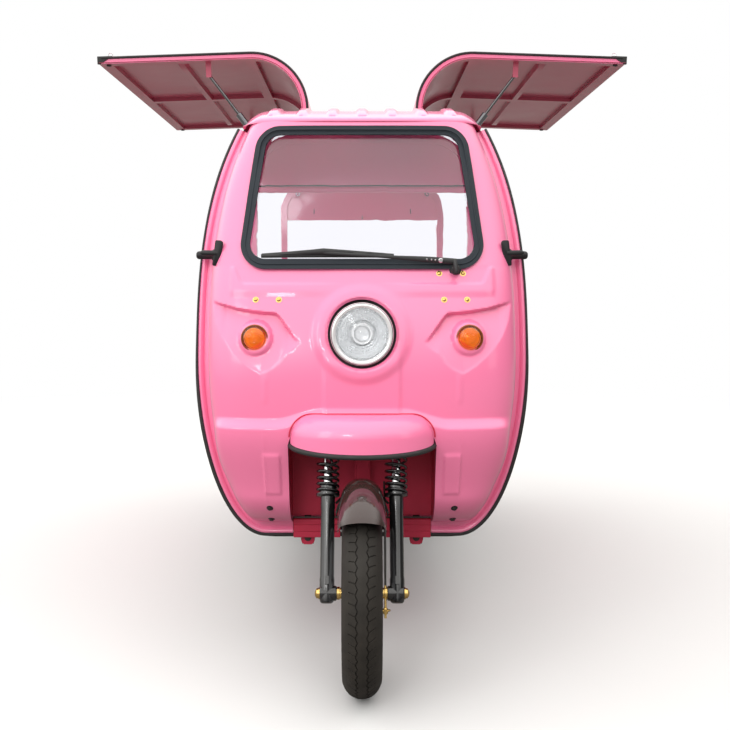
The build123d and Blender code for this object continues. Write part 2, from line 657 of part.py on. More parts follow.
def door_knuckle(z, fixed):
    """One hinge of the rear door: the post's middle barrel with its pin, or the door's two outer barrels."""
    x, y = DOOR_HINGE
    if fixed:
        piece = bar((x, y, z - 14.5), (x, y, z + 14.5), DOOR_BARREL)
        piece += block(x - 30, x, BOX_REAR, BOX_REAR + 2.5, z - 14.5, z + 14.5)
        return piece + bar((x, y, z - 34), (x, y, z + 34), DOOR_PIN)
    piece = Part()
    for low, high in ((z - 34, z - 15), (z + 15, z + 34)):
        piece += bar((x, y, low), (x, y, high), DOOR_BARREL)
        piece += block(x, x + 34, BOX_REAR, BOX_REAR + 2.5, low, high)
    return piece - bar((x, y, z - 40), (x, y, z + 40), DOOR_PIN + RUN_GAP)


rear_arch = slab_y(arch_ring, REAR_ARCH_Y, BOX_REAR) + rear_seat + mirrored(rear_seat)
for z in DOOR_HEIGHTS:
    rear_arch += door_knuckle(z, True)
save(rear_arch, "rear_arch")

over = 2 * ROOF_HEIGHT
header_window = polygon((-WIDE, HEADER_FOOT), (WIDE, HEADER_FOOT), (WIDE, over), (-WIDE, over))
header = arch_hole & header_window
front_header = slab_y(header, BOX_FRONT + 9, BOX_FRONT + 9 + HEADER_SHEET)
rear_header = slab_y(header, BOX_REAR - 9 - HEADER_SHEET, BOX_REAR - 9)
save(group(front_header, rear_header), "header_panels")

bulkhead = block(-POST_INNER, POST_INNER, BOX_FRONT + 5, BOX_FRONT + 5 + BULKHEAD, CAB_TOP, COUNTER_HEIGHT)
save(bulkhead, "bulkhead")

cargo_front = BOX_FRONT + 5 + BULKHEAD + RUN_GAP
cargo_rear = BOX_REAR - DOOR_THICKNESS - 1
cargo_floor = block(-ARCH_HALF, ARCH_HALF, cargo_front, cargo_rear, CARGO_FLOOR, CARGO_TOP)
save(cargo_floor, "cargo_floor")

wheel_opening = axle_bar(0, WIDE, REAR_AXLE_Y, TYRE_RADIUS + ARCH_CLEARANCE)
side_panel = block(ARCH_HALF, HALF_BODY, BOX_FRONT, BOX_REAR, SIDE_FOOT, SIDE_TOP) - wheel_opening
save(side_panel, "side_panel_right")
save(mirrored(side_panel), "side_panel_left")

guard_outer = CARGO_FLOOR - TYRE_RADIUS - RUN_GAP
guard_x0, guard_x1 = REAR_TRACK / 2 - TYRE_WIDTH / 2 - 22, ARCH_HALF - RUN_GAP
guard = axle_bar(guard_x0, guard_x1, REAR_AXLE_Y, guard_outer)
guard -= axle_bar(guard_x0 + 4, guard_x1 + 5, REAR_AXLE_Y, guard_outer - 5)
guard &= block(0, WIDE, FRONT_END, REAR_END, TYRE_RADIUS + 80, CARGO_TOP)
save(group(guard, mirrored(guard)), "rear_mudguards")

skirt_top = CARGO_TOP - RUN_GAP
rear_skirt = block(-ARCH_HALF, ARCH_HALF, BOX_REAR - DOOR_THICKNESS, BOX_REAR, SIDE_FOOT, skirt_top)
save(rear_skirt, "rear_skirt")

tail_light = block(TAIL_INNER, TAIL_OUTER, BOX_REAR, BOX_REAR + TAIL_PROUD, TAIL_LOW, TAIL_HIGH)
save(group(tail_light, mirrored(tail_light)), "tail_lights")
number_plate = block(-PLATE_HALF, PLATE_HALF, BOX_REAR + RUN_GAP, BOX_REAR + 3, PLATE_LOW, PLATE_HIGH)
save(number_plate, "number_plate")

door_half = POST_INNER - MOVE_GAP
rear_door = block(-door_half, door_half, BOX_REAR - DOOR_THICKNESS, BOX_REAR, DOOR_LOW, SIDE_TOP)
for z in DOOR_HEIGHTS:
    rear_door += door_knuckle(z, False)
save(rear_door, "rear_door")


# ---- roof strip, hatches and their hinges --------------------------------------------------------
HINGE_PLACES = [BOX_FRONT + share * BOX_LENGTH for share in HINGE_SHARES]


def hatch_hinge(y, fixed):
    """One roof hinge on the right: the strip's barrel with its pin, or the hatch's two outer barrels."""
    x, z, top = HATCH_HINGE_X, HINGE_Z, ROOF_HEIGHT
    if fixed:
        piece = bar((x, y - 15, z), (x, y + 15, z), HINGE_BARREL)
        piece += block(x - 34, x, y - 15, y + 15, top, top + HINGE_LEAF)
        return piece + bar((x, y - 36, z), (x, y + 36, z), HINGE_PIN)
    piece = Part()
    for low, high in ((y - 36, y - 15.5), (y + 15.5, y + 36)):
        piece += bar((x, low, z), (x, high, z), HINGE_BARREL)
        piece += block(x, x + 36, low, high, top, top + HINGE_LEAF)
    return piece - bar((x, y - 40, z), (x, y + 40, z), HINGE_PIN + RUN_GAP)


strip_half = HATCH_HINGE_X - 3
roof_strip = block(-strip_half, strip_half, BOX_FRONT + RUN_GAP, BOX_REAR, ARCH_TOP, ROOF_HEIGHT)
for y in HINGE_PLACES:
    hinge = hatch_hinge(y, True)
    roof_strip = roof_strip + hinge + mirrored(hinge)
save(roof_strip, "roof_strip")

HATCH_FRONT = BOX_FRONT + MOVE_GAP
HATCH_REAR = BOX_REAR
STRUT_FRONT_Y = BOX_FRONT + ARCH_DEPTH + STRUT_INBOARD
STRUT_REAR_Y = REAR_ARCH_Y - STRUT_INBOARD


def hatch_profile(outer, inner):
    """The hatch's section between two depths under its outer skin, closed."""
    def right_half(depth):
        half, top, corner = HALF_BODY - depth, ROOF_HEIGHT - depth, SHOULDER_RADIUS - depth
        return hoop(half, top, corner, HATCH_FOOT - 100)
    edge, over = HATCH_HINGE_X + 3, 2 * ROOF_HEIGHT
    window = polygon((edge, HATCH_FOOT), (WIDE, HATCH_FOOT), (WIDE, over), (edge, over))
    return (right_half(outer) - right_half(inner)) & window


def hatch_pocket(y0, y1):
    """The recess between two cross ribs, split by the rib where the shoulder begins."""
    inner, outer = HALF_BODY - HATCH_THICKNESS - 5, HALF_BODY - HATCH_SKIN
    wall = block(inner, outer, y0, y1, HATCH_FOOT + HATCH_RAIL, SHOULDER_Z - 20)
    x, z = SHOULDER_X, SHOULDER_Z
    curve = bar((x, y0, z), (x, y1, z), SHOULDER_RADIUS - HATCH_SKIN)
    curve -= bar((x, y0 - 1, z), (x, y1 + 1, z), SHOULDER_RADIUS - HATCH_THICKNESS - 5)
    curve &= block(x, WIDE, y0 - 1, y1 + 1, z + 14, 2 * ROOF_HEIGHT)
    return wall + curve


def strut_bracket(y, towards):
    """The plate on the hatch beside the strut's upper eye; its pin stops just short of the eye."""
    x, z = STRUT_EYE
    face = y + towards * (STRUT_ROD_RADIUS + 0.8)
    near, far = sorted((face, face + towards * 4))
    return block(x - 9, HALF_BODY - HATCH_THICKNESS + 1, near, far, z - 9, z + 9)


middle = (HATCH_FRONT + HATCH_REAR) / 2
hatch = slab_y(hatch_profile(0, HATCH_THICKNESS), HATCH_FRONT, HATCH_REAR)
hatch -= hatch_pocket(HATCH_FRONT + HATCH_RAIL, middle - HATCH_RAIL / 2)
hatch -= hatch_pocket(middle + HATCH_RAIL / 2, HATCH_REAR - HATCH_RAIL)
hatch += strut_bracket(STRUT_FRONT_Y, -1) + strut_bracket(STRUT_REAR_Y, 1)
for y in HINGE_PLACES:
    hatch += hatch_hinge(y, False)
hatch = turned(hatch, (HATCH_HINGE_X, 0, HINGE_Z), (0, 1, 0), -HATCH_OPEN)
save(hatch, "hatch_right")
save(mirrored(hatch), "hatch_left")


def opened(point):
    """A point of the closed right hatch, in (x, z), after it has lifted."""
    turn = math.radians(HATCH_OPEN)
    x, z = point[0] - HATCH_HINGE_X, point[1] - HINGE_Z
    out = x * math.cos(turn) - z * math.sin(turn)
    up = x * math.sin(turn) + z * math.cos(turn)
    return (HATCH_HINGE_X + out, HINGE_Z + up)


eye_x, eye_z = opened(STRUT_EYE)
reach = math.hypot(eye_x - STRUT_PIVOT[0], eye_z - STRUT_PIVOT[1])


def strut_point(y, along):
    share = along / reach
    x = STRUT_PIVOT[0] + (eye_x - STRUT_PIVOT[0]) * share
    return (x, y, STRUT_PIVOT[1] + (eye_z - STRUT_PIVOT[1]) * share)


def eye_ring(y, along, radius):
    """A strut's end ring and the bore for its pin."""
    x, _, z = strut_point(y, along)
    half = STRUT_RING_WIDTH / 2
    ring = bar((x, y - half, z), (x, y + half, z), STRUT_RING_RADIUS)
    return ring, bar((x, y - 9, z), (x, y + 9, z), radius)


def strut(y):
    """A gas strut as two pieces: the tube on its lower pin, and the rod with its upper eye."""
    ring, hole = eye_ring(y, 0, STRUT_PIN_RADIUS + RUN_GAP)
    tube = bar(strut_point(y, 20), strut_point(y, STRUT_TUBE_LENGTH), STRUT_TUBE_RADIUS)
    tube -= bar(strut_point(y, 26), strut_point(y, STRUT_TUBE_LENGTH + 1), STRUT_ROD_RADIUS + RUN_GAP)
    tube = tube + ring + bar(strut_point(y, 6), strut_point(y, 21), 4) - hole
    top_ring, top_hole = eye_ring(y, reach, STRUT_PIN_RADIUS)
    rod = bar(strut_point(y, STRUT_TUBE_LENGTH - 15), strut_point(y, reach - 5), STRUT_ROD_RADIUS)
    return tube, rod + top_ring - top_hole


for place, y in (("front", STRUT_FRONT_Y), ("rear", STRUT_REAR_Y)):
    tube, rod = strut(y)
    save(tube, f"strut_tube_{place}_right")
    save(rod, f"strut_rod_{place}_right")
    save(mirrored(tube), f"strut_tube_{place}_left")
    save(mirrored(rod), f"strut_rod_{place}_left")

# ---- seat, battery, pedal ------------------------------------------------------------------------
SEAT_FRONT = BOX_FRONT - SEAT_DEPTH
SEAT_REAR = BOX_FRONT - 20
seat_base = block(-SEAT_HALF, SEAT_HALF, SEAT_FRONT, SEAT_REAR, CAB_TOP, SEAT_HEIGHT)
bay_half, bay_top = SEAT_HALF - SEAT_WALL, SEAT_HEIGHT - SEAT_WALL
seat_base -= block(-bay_half, bay_half, SEAT_FRONT + SEAT_WALL, SEAT_REAR - SEAT_WALL, CAB_TOP - 1, bay_top)
save(seat_base, "seat_base")
battery_top = CAB_TOP + BATTERY_HEIGHT
battery = block(-BATTERY_HALF, BATTERY_HALF, SEAT_FRONT + 30, SEAT_REAR - 30, CAB_TOP, battery_top)
save(battery, "battery_pack")
cushion_low, cushion_high = SEAT_HEIGHT + RUN_GAP, SEAT_HEIGHT + CUSHION_THICKNESS
cushion = block(-CUSHION_HALF, CUSHION_HALF, SEAT_FRONT - 15, BOX_FRONT - 40, cushion_low, cushion_high)
cushion = fillet(cushion.edges(), CUSHION_ROUND)
back_low, back_high = SEAT_HEIGHT + 130, COUNTER_HEIGHT - 20
back_rear = BOX_FRONT + 5 - RUN_GAP
backrest = block(-BACKREST_HALF, BACKREST_HALF, BOX_FRONT - 38, back_rear, back_low, back_high)
backrest = fillet(backrest.edges(), BACKREST_ROUND)
save(cushion, "seat_cushion")
save(backrest, "seat_backrest")
PEDAL_Y = RIM_Y + PEDAL_BACK
pedal = block(PEDAL_X - 16, PEDAL_X + 16, PEDAL_Y - 16, PEDAL_Y + 16, CAB_TOP, CAB_TOP + 8)
pedal += bar((PEDAL_X, PEDAL_Y, CAB_TOP + 5), (PEDAL_X, PEDAL_Y - 30, CAB_TOP + 80), 6)
pedal_pad = block(PEDAL_X - 30, PEDAL_X + 30, PEDAL_Y - 40, PEDAL_Y - 26, CAB_TOP + 55, CAB_TOP + 115)
pedal += turned(pedal_pad, (PEDAL_X, PEDAL_Y - 32, CAB_TOP + 85), (1, 0, 0), -20)
save(pedal, "brake_pedal")


# ---- wheels --------------------------------------------------------------------------------------
def wheel(x, y, bore):
    """A tyre and its rim about an axle along X, centred at a place."""
    section = Pos(0, TYRE_RADIUS - TYRE_SECTION) * Ellipse(TYRE_WIDTH / 2, TYRE_SECTION)
    tyre = revolve(section, Axis.X) - Rot(0, 90, 0) * Cylinder(RIM_RADIUS, 3 * TYRE_WIDTH)
    half, hub = RIM_WIDTH / 2, HUB_LENGTH / 2
    disc_low, disc_high = HUB_RADIUS + 14, RIM_RADIUS - 22
    right = [(hub, bore), (hub, HUB_RADIUS), (8, disc_low), (8, disc_high)]
    right += [(half, RIM_RADIUS - 10), (half, RIM_RADIUS)]
    left = [(-across, radius) for across, radius in reversed(right)]
    outline = polygon(*right, *left)
    place = Pos(x, y, TYRE_RADIUS)
    return place * tyre, place * revolve(outline, Axis.X)


for name, x, y, bore in (
    ("front", 0.0, FRONT_AXLE_Y, AXLE_RADIUS),
    ("rear_right", REAR_TRACK / 2, REAR_AXLE_Y, STUB_RADIUS),
    ("rear_left", -REAR_TRACK / 2, REAR_AXLE_Y, STUB_RADIUS),
):
    tyre, rim = wheel(x, y, bore + RUN_GAP)
    save(tyre, f"{name}_tyre")
    save(rim, f"{name}_rim")

# ---- rear axle and springs -----------------------------------------------------------------------
hub_inner = REAR_TRACK / 2 - HUB_LENGTH / 2
hub_outer = REAR_TRACK / 2 + HUB_LENGTH / 2
rear_axle = axle_bar(6 - hub_inner, hub_inner - 6, REAR_AXLE_Y, AXLE_TUBE_RADIUS)
rear_axle += axle_bar(-hub_outer - 3, hub_outer + 3, REAR_AXLE_Y, STUB_RADIUS)
rear_axle += axle_bar(-MOTOR_HALF, MOTOR_HALF, REAR_AXLE_Y, MOTOR_RADIUS)
for side in (-1, 1):
    rear_axle += axle_bar(side * (hub_outer + 0.5), side * (hub_outer + 6), REAR_AXLE_Y, STUB_RADIUS + 7)
save(rear_axle, "rear_axle")


def spring_arc(reach, z_middle):
    """One edge of the leaf spring, from eye to eye over or under the axle tube."""
    ends = [(REAR_AXLE_Y - reach, RAIL_FOOT), (REAR_AXLE_Y + reach, RAIL_FOOT)]
    return ThreePointArc(ends[0], (REAR_AXLE_Y, z_middle), ends[1])


spring_seat = TYRE_RADIUS + AXLE_TUBE_RADIUS
upper = spring_arc(SPRING_REACH, spring_seat + 26)
lower = spring_arc(SPRING_EYE, spring_seat)
spring_outline = make_face([upper, lower, Line(upper @ 0, lower @ 0), Line(upper @ 1, lower @ 1)])
leaf = slab_x(spring_outline, RAIL_X - 24, RAIL_X + 24)
save(group(leaf, mirrored(leaf)), "leaf_springs")

# ---- front fork, steering and mudguard -----------------------------------------------------------
CLAMP_BOTTOM = SPRING_TOP + RUN_GAP
CLAMP_TOP = CLAMP_BOTTOM + CLAMP_THICKNESS
sliders = []
springs = []
stem = bar(on_axis(CLAMP_TOP - 5), on_axis(STEM_TOP), STEM_RADIUS)
clamp = Box(2 * FORK_X + 50, 48, CLAMP_THICKNESS, align=(Align.CENTER, Align.CENTER, Align.MIN))
stem += Plane(origin=on_axis(CLAMP_BOTTOM), x_dir=(1, 0, 0), z_dir=(0, axis_y, axis_z)) * clamp
for side in (-1, 1):
    x = side * FORK_X
    slider = bar(on_axis(-24, x), on_axis(SLIDER_TOP, x), SLIDER_RADIUS)
    slider += bar(on_axis(SLIDER_TOP - 20, x), on_axis(SLIDER_TOP, x), SPRING_RADIUS)
    slider -= axle_bar(x - 60, x + 60, FRONT_AXLE_Y, AXLE_RADIUS + RUN_GAP)
    slider -= bar(on_axis(60, x), on_axis(SLIDER_TOP + 10, x), STANCHION_RADIUS + RUN_GAP)
    sliders.append(slider)
    spring = bar(on_axis(SLIDER_TOP + RUN_GAP, x), on_axis(SPRING_TOP, x), SPRING_RADIUS)
    springs.append(spring - bar(on_axis(SLIDER_TOP, x), on_axis(SPRING_TOP + 5, x), SPRING_RADIUS - 10))
    stem += bar(on_axis(100, x), on_axis(CLAMP_TOP, x), STANCHION_RADIUS)
save(group(*sliders), "fork_sliders")
save(group(*springs), "fork_springs")
save(stem, "steering_stem")

nut = FORK_X + SLIDER_RADIUS
front_axle = axle_bar(-nut - 12, nut + 12, FRONT_AXLE_Y, AXLE_RADIUS)
slider_face = FORK_X - SLIDER_RADIUS - RUN_GAP
for side in (-1, 1):
    front_axle += axle_bar(side * (HUB_LENGTH / 2 + 0.5), side * slider_face, FRONT_AXLE_Y, AXLE_RADIUS + 6)
    front_axle += axle_bar(side * (nut + RUN_GAP), side * (nut + 9), FRONT_AXLE_Y, AXLE_RADIUS + 5)
save(front_axle, "front_axle")

guard_top = GUARD_RADIUS + GUARD_THICKNESS
guard_ring = axle_bar(-GUARD_HALF, GUARD_HALF, FRONT_AXLE_Y, guard_top)
guard_ring -= axle_bar(-GUARD_HALF - 40, GUARD_HALF + 40, FRONT_AXLE_Y, GUARD_RADIUS)
sector_reach = 2 * GUARD_RADIUS
sector = [(FRONT_AXLE_Y, TYRE_RADIUS)]
for angle in (GUARD_START, 90.0, 130.0, GUARD_END):
    turn = math.radians(angle)
    sector.append((FRONT_AXLE_Y - sector_reach * math.cos(turn), TYRE_RADIUS + sector_reach * math.sin(turn)))
mudguard = guard_ring & slab_x(polygon(*sector), -80, 80)
strip_face = FORK_X - SPRING_RADIUS - RUN_GAP
fork_plane = Plane(origin=on_axis(0), x_dir=(1, 0, 0), z_dir=(0, axis_y, axis_z))
for side in (-1, 1):
    for inner, outer, low, high in (
        (GUARD_HALF - 6, strip_face, GUARD_RADIUS + 0.5, guard_top),
        (strip_face - 2.4, strip_face, SLIDER_TOP - 60, guard_top),
        (strip_face - 2.4, slider_face, SLIDER_TOP - 60, SLIDER_TOP - 28),
    ):
        x0, x1 = sorted((side * inner, side * outer))
        mudguard += fork_plane * block(x0, x1, -8, 8, low, high)
save(mudguard, "front_mudguard")

bar_centre = on_axis(STEM_TOP - 12)
inner_end = (70.0, bar_centre[1] + 6, bar_centre[2] + 6)
outer_end = (BAR_HALF, bar_centre[1] + BAR_SWEEP, bar_centre[2] + 14)
grip_start = tuple(inner_end[i] + 0.52 * (outer_end[i] - inner_end[i]) for i in range(3))
half_bar = bar(bar_centre, inner_end, BAR_RADIUS) + bar(inner_end, outer_end, BAR_RADIUS)
half_bar += Pos(*inner_end) * Sphere(BAR_RADIUS)
handlebar = half_bar + mirrored(half_bar) + bar((-30, *bar_centre[1:]), (30, *bar_centre[1:]), BAR_RADIUS + 8)
handlebar -= bar(on_axis(STEM_TOP - 80), on_axis(STEM_TOP + 30), STEM_RADIUS)
save(handlebar, "handlebar")
grip = bar(grip_start, outer_end, GRIP_RADIUS) - bar(inner_end, outer_end, BAR_RADIUS)
save(group(grip, mirrored(grip)), "handlebar_grips")
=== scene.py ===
import math

import bmesh
import bpy
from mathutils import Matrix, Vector
from mathutils.bvhtree import BVHTree


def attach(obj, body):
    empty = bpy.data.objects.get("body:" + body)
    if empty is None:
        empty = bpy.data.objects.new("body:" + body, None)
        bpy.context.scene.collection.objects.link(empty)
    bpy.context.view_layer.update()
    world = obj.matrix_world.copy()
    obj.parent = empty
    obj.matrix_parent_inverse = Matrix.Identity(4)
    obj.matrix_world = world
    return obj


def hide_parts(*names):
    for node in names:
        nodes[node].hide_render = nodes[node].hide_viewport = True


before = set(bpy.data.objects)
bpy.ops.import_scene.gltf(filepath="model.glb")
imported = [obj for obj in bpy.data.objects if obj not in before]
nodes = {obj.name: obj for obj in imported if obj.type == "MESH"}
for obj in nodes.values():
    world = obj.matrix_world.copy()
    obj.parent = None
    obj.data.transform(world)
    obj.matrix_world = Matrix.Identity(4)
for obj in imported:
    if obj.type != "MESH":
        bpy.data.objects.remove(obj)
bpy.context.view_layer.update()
scene = bpy.context.scene

# ---- chassis: rails, steering neck, rear bumper and floors ------------------------------------------------------
# Two folded steel rails joined by cross members, a tubular neck at the front that carries the steering head, and a
# tube bumper behind, all sprayed satin black. The cab floor is enamelled sheet, the box floor is bright tread plate.
def put(tree, kind, inputs=None, **settings):
    """Adds a node: settings are its properties; an input is linked to a socket or set to a value."""
    made = tree.nodes.new(kind)
    for key, value in settings.items():
        setattr(made, key, value)
    for key, value in (inputs or {}).items():
        if isinstance(value, bpy.types.NodeSocket):
            tree.links.new(value, made.inputs[key])
        else:
            made.inputs[key].default_value = value
    return made


def blend_of(tree, share, one, other):
    """A colour between two, by a share."""
    return put(tree, "ShaderNodeMix", {0: share, 6: one, 7: other}, data_type="RGBA").outputs[2]


def coat_of(name, one, other, scale, rough, grain=None, **fixed):
    """A finish that drifts between two tones and two roughnesses, with a fine grain given as (size, depth)."""
    made = bpy.data.materials.new(name)
    made.use_nodes = True
    tree = made.node_tree
    shader = tree.nodes["Principled BSDF"]
    place = put(tree, "ShaderNodeTexCoord").outputs["Object"]
    drift = put(tree, "ShaderNodeTexNoise", {"Vector": place, "Scale": scale, "Detail": 4.0, "Roughness": 0.6})
    tone = blend_of(tree, drift.outputs[0], (*one, 1), (*other, 1))
    tree.links.new(tone, shader.inputs["Base Color"])
    gloss = put(tree, "ShaderNodeMapRange", {0: drift.outputs[0], 1: 0.3, 2: 0.7, 3: rough[0], 4: rough[1]})
    tree.links.new(gloss.outputs[0], shader.inputs["Roughness"])
    if grain:
        fine = put(tree, "ShaderNodeTexNoise", {"Vector": place, "Scale": 1 / grain[0], "Detail": 2.0})
        bump = put(tree, "ShaderNodeBump", {"Height": fine.outputs[0], "Distance": grain[1], "Strength": 0.6})
        tree.links.new(bump.outputs[0], shader.inputs["Normal"])
    for socket, value in fixed.items():
        shader.inputs[socket.replace("_", " ")].default_value = value
    return made


def dress(finish, *names):
    """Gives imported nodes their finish."""
    for name in names:
        for slot in nodes[name].material_slots:
            slot.material = finish


def dusty(finish, dust, low, high, most):
    """Road dust over a finish, thick at a low height and gone at a high one."""
    tree = finish.node_tree
    shader = tree.nodes["Principled BSDF"]
    under = shader.inputs["Base Color"].links[0].from_socket
    place = put(tree, "ShaderNodeTexCoord").outputs["Object"]
    up = put(tree, "ShaderNodeSeparateXYZ", {0: place}).outputs[2]
    fade = put(tree, "ShaderNodeMapRange", {0: up, 1: low, 2: high, 3: most, 4: 0.0}).outputs[0]
    specks = put(tree, "ShaderNodeTexNoise", {"Vector": place, "Scale": 26.0, "Detail": 5.0}).outputs[0]
    share = put(tree, "ShaderNodeMath", {0: fade, 1: specks}, operation="MULTIPLY").outputs[0]
    tree.links.new(blend_of(tree, share, under, (*dust, 1)), shader.inputs["Base Color"])


frame_black = coat_of("satin_black_paint", (0.009, 0.009, 0.010), (0.016, 0.016, 0.018), 5.0, (0.32, 0.5),
                      (0.0012, 0.0002), Specular_IOR_Level=0.3)
dusty(frame_black, (0.16, 0.13, 0.1), 0.1, 0.6, 0.5)
dress(frame_black, "chassis_rails", "steering_neck", "rear_bumper")

PINK, PINK_DEEP = (0.885, 0.205, 0.385), (0.875, 0.197, 0.375)
pink_paint = coat_of("pink_enamel", PINK, PINK_DEEP, 2.4, (0.285, 0.35), (0.003, 0.00006),
                     Coat_Weight=0.55, Coat_Roughness=0.07, Specular_IOR_Level=0.45)
dusty(pink_paint, (0.42, 0.2, 0.2), 0.3, 0.75, 0.22)
dress(pink_paint, "cab_floor", "bulkhead")

tread_plate = coat_of("bright_tread_plate", (0.5, 0.51, 0.53), (0.62, 0.63, 0.65), 7.0, (0.24, 0.42), None,
                      Metallic=1.0)
tree = tread_plate.node_tree
place = put(tree, "ShaderNodeTexCoord").outputs["Object"]
bumps = []
for turn in (45, -45):
    turned = put(tree, "ShaderNodeMapping",
                 {"Vector": place, "Rotation": (0, 0, math.radians(turn)), "Scale": (1, 2.6, 0)})
    cells = put(tree, "ShaderNodeTexVoronoi", {"Vector": turned.outputs[0], "Scale": 30.0, "Randomness": 0.0})
    raised = put(tree, "ShaderNodeMapRange", {0: cells.outputs["Distance"], 1: 0.18, 2: 0.3, 3: 1.0, 4: 0.0})
    bumps.append(raised.outputs[0])
both = put(tree, "ShaderNodeMath", {0: bumps[0], 1: bumps[1]}, operation="MAXIMUM")
bars = put(tree, "ShaderNodeBump", {"Height": both.outputs[0], "Distance": 0.0015})
tree.links.new(bars.outputs[0], tree.nodes["Principled BSDF"].inputs["Normal"])
dress(tread_plate, "cargo_floor")

# ---- rear axle, leaf springs and inner mudguards ----------------------------------------------------------------
# A live axle with its drive motor in the middle, sprung on two packs of steel leaves. The leaves are rolled flat bar
# held by two U-bolts each, and moulded plastic liners over the wheels keep the road dirt off the box floor.
def build(name, points, faces, finish, body, angle=35):
    """A mesh piece in the shared frame, its faces turned outward, riding on a body."""
    mesh = bpy.data.meshes.new(name)
    mesh.from_pydata([tuple(p) for p in points], [], faces)
    work = bmesh.new()
    work.from_mesh(mesh)
    bmesh.ops.remove_doubles(work, verts=work.verts, dist=1e-5)
    bmesh.ops.recalc_face_normals(work, faces=work.faces)
    work.to_mesh(mesh)
    work.free()
    return settle(name, mesh, finish, body, angle)


def settle(name, mesh, finish, body, angle=35):
    """Shades a finished mesh, gives it its finish and sets it riding."""
    mesh.shade_smooth()
    mesh.set_sharp_from_angle(angle=math.radians(angle))
    if finish:
        mesh.materials.clear()
        mesh.materials.append(finish)
    made = bpy.data.objects.new(name, mesh)
    scene.collection.objects.link(made)
    if body:
        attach(made, body)
    return made


def joined(*parts):
    """One list of points and faces out of several."""
    points, faces = [], []
    for some, sides in parts:
        start = len(points)
        points += some
        faces += [[i + start for i in side] for side in sides]
    return points, faces


def sweep(loops, closed=False, capped=True):
    """Faces between loops of equal length laid one after another."""
    count = len(loops[0])
    points = [p for loop in loops for p in loop]
    rows = len(loops)
    faces = []
    for row in range(rows if closed else rows - 1):
        here, there = row * count, (row + 1) % rows * count
        for i in range(count):
            j = (i + 1) % count
            faces.append([here + i, here + j, there + j, there + i])
    if capped and not closed:
        faces += [list(range(count)), list(range((rows - 1) * count, rows * count))]
    return points, faces


def lathe(profile, axis="X", centre=(0, 0, 0), steps=48, ring=False):
    """A section of (along, radius) pairs turned about an axis; a ring's section closes on itself."""
    loops = []
    for along, radius in profile:
        loop = []
        for step in range(steps):
            turn = 2 * math.pi * step / steps
            c, s = max(radius, 1e-6) * math.cos(turn), max(radius, 1e-6) * math.sin(turn)
            spot = {"X": (along, c, s), "Y": (c, along, s), "Z": (c, s, along)}[axis]
            loop.append(tuple(centre[i] + spot[i] for i in range(3)))
        loops.append(loop)
    return sweep(loops, ring)


def tube(path, radius, sides=10, closed=False, flat=1.0):
    """A round bar along a path of points; radius may be one value or one for each point."""
    path = [Vector(p) for p in path]
    count = len(path)
    sizes = radius if isinstance(radius, (list, tuple)) else [radius] * count
    loops, side = [], None
    for i, spot in enumerate(path):
        if closed:
            ahead = path[(i + 1) % count] - path[i - 1]
        else:
            ahead = path[min(i + 1, count - 1)] - path[max(i - 1, 0)]
        ahead.normalize()
        if side is None:
            side = Vector((0, 0, 1)) if abs(ahead.z) < 0.9 else Vector((0, 1, 0))
        side = (side - ahead * side.dot(ahead)).normalized()
        other = ahead.cross(side)
        turns = [2 * math.pi * k / sides for k in range(sides)]
        high, wide = other * sizes[i] * flat, side * sizes[i]
        loops.append([tuple(spot + wide * math.cos(t) + high * math.sin(t)) for t in turns])
    return sweep(loops, closed)


def slab(x0, x1, y0, y1, z0, z1):
    """Points and faces of a plain block, for joining into larger pieces."""
    points = [(x, y, z) for x in (x0, x1) for y in (y0, y1) for z in (z0, z1)]
    faces = [[0, 1, 3, 2], [4, 6, 7, 5], [0, 4, 5, 1], [2, 3, 7, 6], [0, 2, 6, 4], [1, 5, 7, 3]]
    return points, faces


def flipped(part):
    """The same points and faces on the other side of the vehicle."""
    return [(-x, y, z) for x, y, z in part[0]], part[1]


def pair(*parts):
    """Parts of the right-hand side as one with their mirror images."""
    return joined(*(flipped(part) for part in parts), *parts)


def softened(piece, width, segments):
    """Rounds a piece's edges."""
    bevel = piece.modifiers.new("round", "BEVEL")
    bevel.width, bevel.segments, bevel.limit_method = width, segments, "ANGLE"
    bevel.angle_limit = math.radians(40)
    bevel.harden_normals = False

AXLE_Y, WHEEL_Z = 0.85, 0.25
dress(frame_black, "rear_axle")
liner_black = coat_of("moulded_black", (0.012, 0.012, 0.013), (0.02, 0.02, 0.022), 9.0, (0.5, 0.7), (0.0008, 0.0003))
dusty(liner_black, (0.2, 0.17, 0.14), 0.2, 0.6, 0.7)
dress(liner_black, "rear_mudguards")

SPRING_X, LEAF_TOP, LEAF_STEP, LONGEST, CAMBER = 0.205, 0.3065, 0.0075, 0.288, 0.1365
leaves = []
for level, (reach, thick) in enumerate(((LONGEST, 0.0075), (0.22, 0.007), (0.14, 0.007))):
    loops = []
    for step in range(25):
        share = -1 + step / 12
        low = LEAF_TOP - LEAF_STEP * (level + 1) + CAMBER * (share * reach / LONGEST) ** 2
        half = 0.019 if abs(share) > 0.97 else 0.024
        section = ((-half, low), (half, low), (half, low + thick - 0.0006), (-half, low + thick - 0.0006))
        loops.append([(SPRING_X + x, AXLE_Y + share * reach, z) for x, z in section])
    leaves.append(sweep(loops))
hoop = [(-0.0265, 0.212), (-0.0265, 0.3), (-0.024, 0.309), (-0.018, 0.314),
        (0.018, 0.314), (0.024, 0.309), (0.0265, 0.3), (0.0265, 0.212)]
for y in (AXLE_Y - 0.045, AXLE_Y + 0.045):
    leaves.append(tube([(SPRING_X + x, y, z) for x, z in hoop], 0.0045, 8))
leaves.append(slab(SPRING_X - 0.03, SPRING_X + 0.03, AXLE_Y - 0.06, AXLE_Y + 0.06, 0.2105, 0.2175))
spring_packs = build("leaf_packs", *pair(*leaves), frame_black, "chassis")
softened(spring_packs, 0.0012, 1)
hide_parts("leaf_springs")

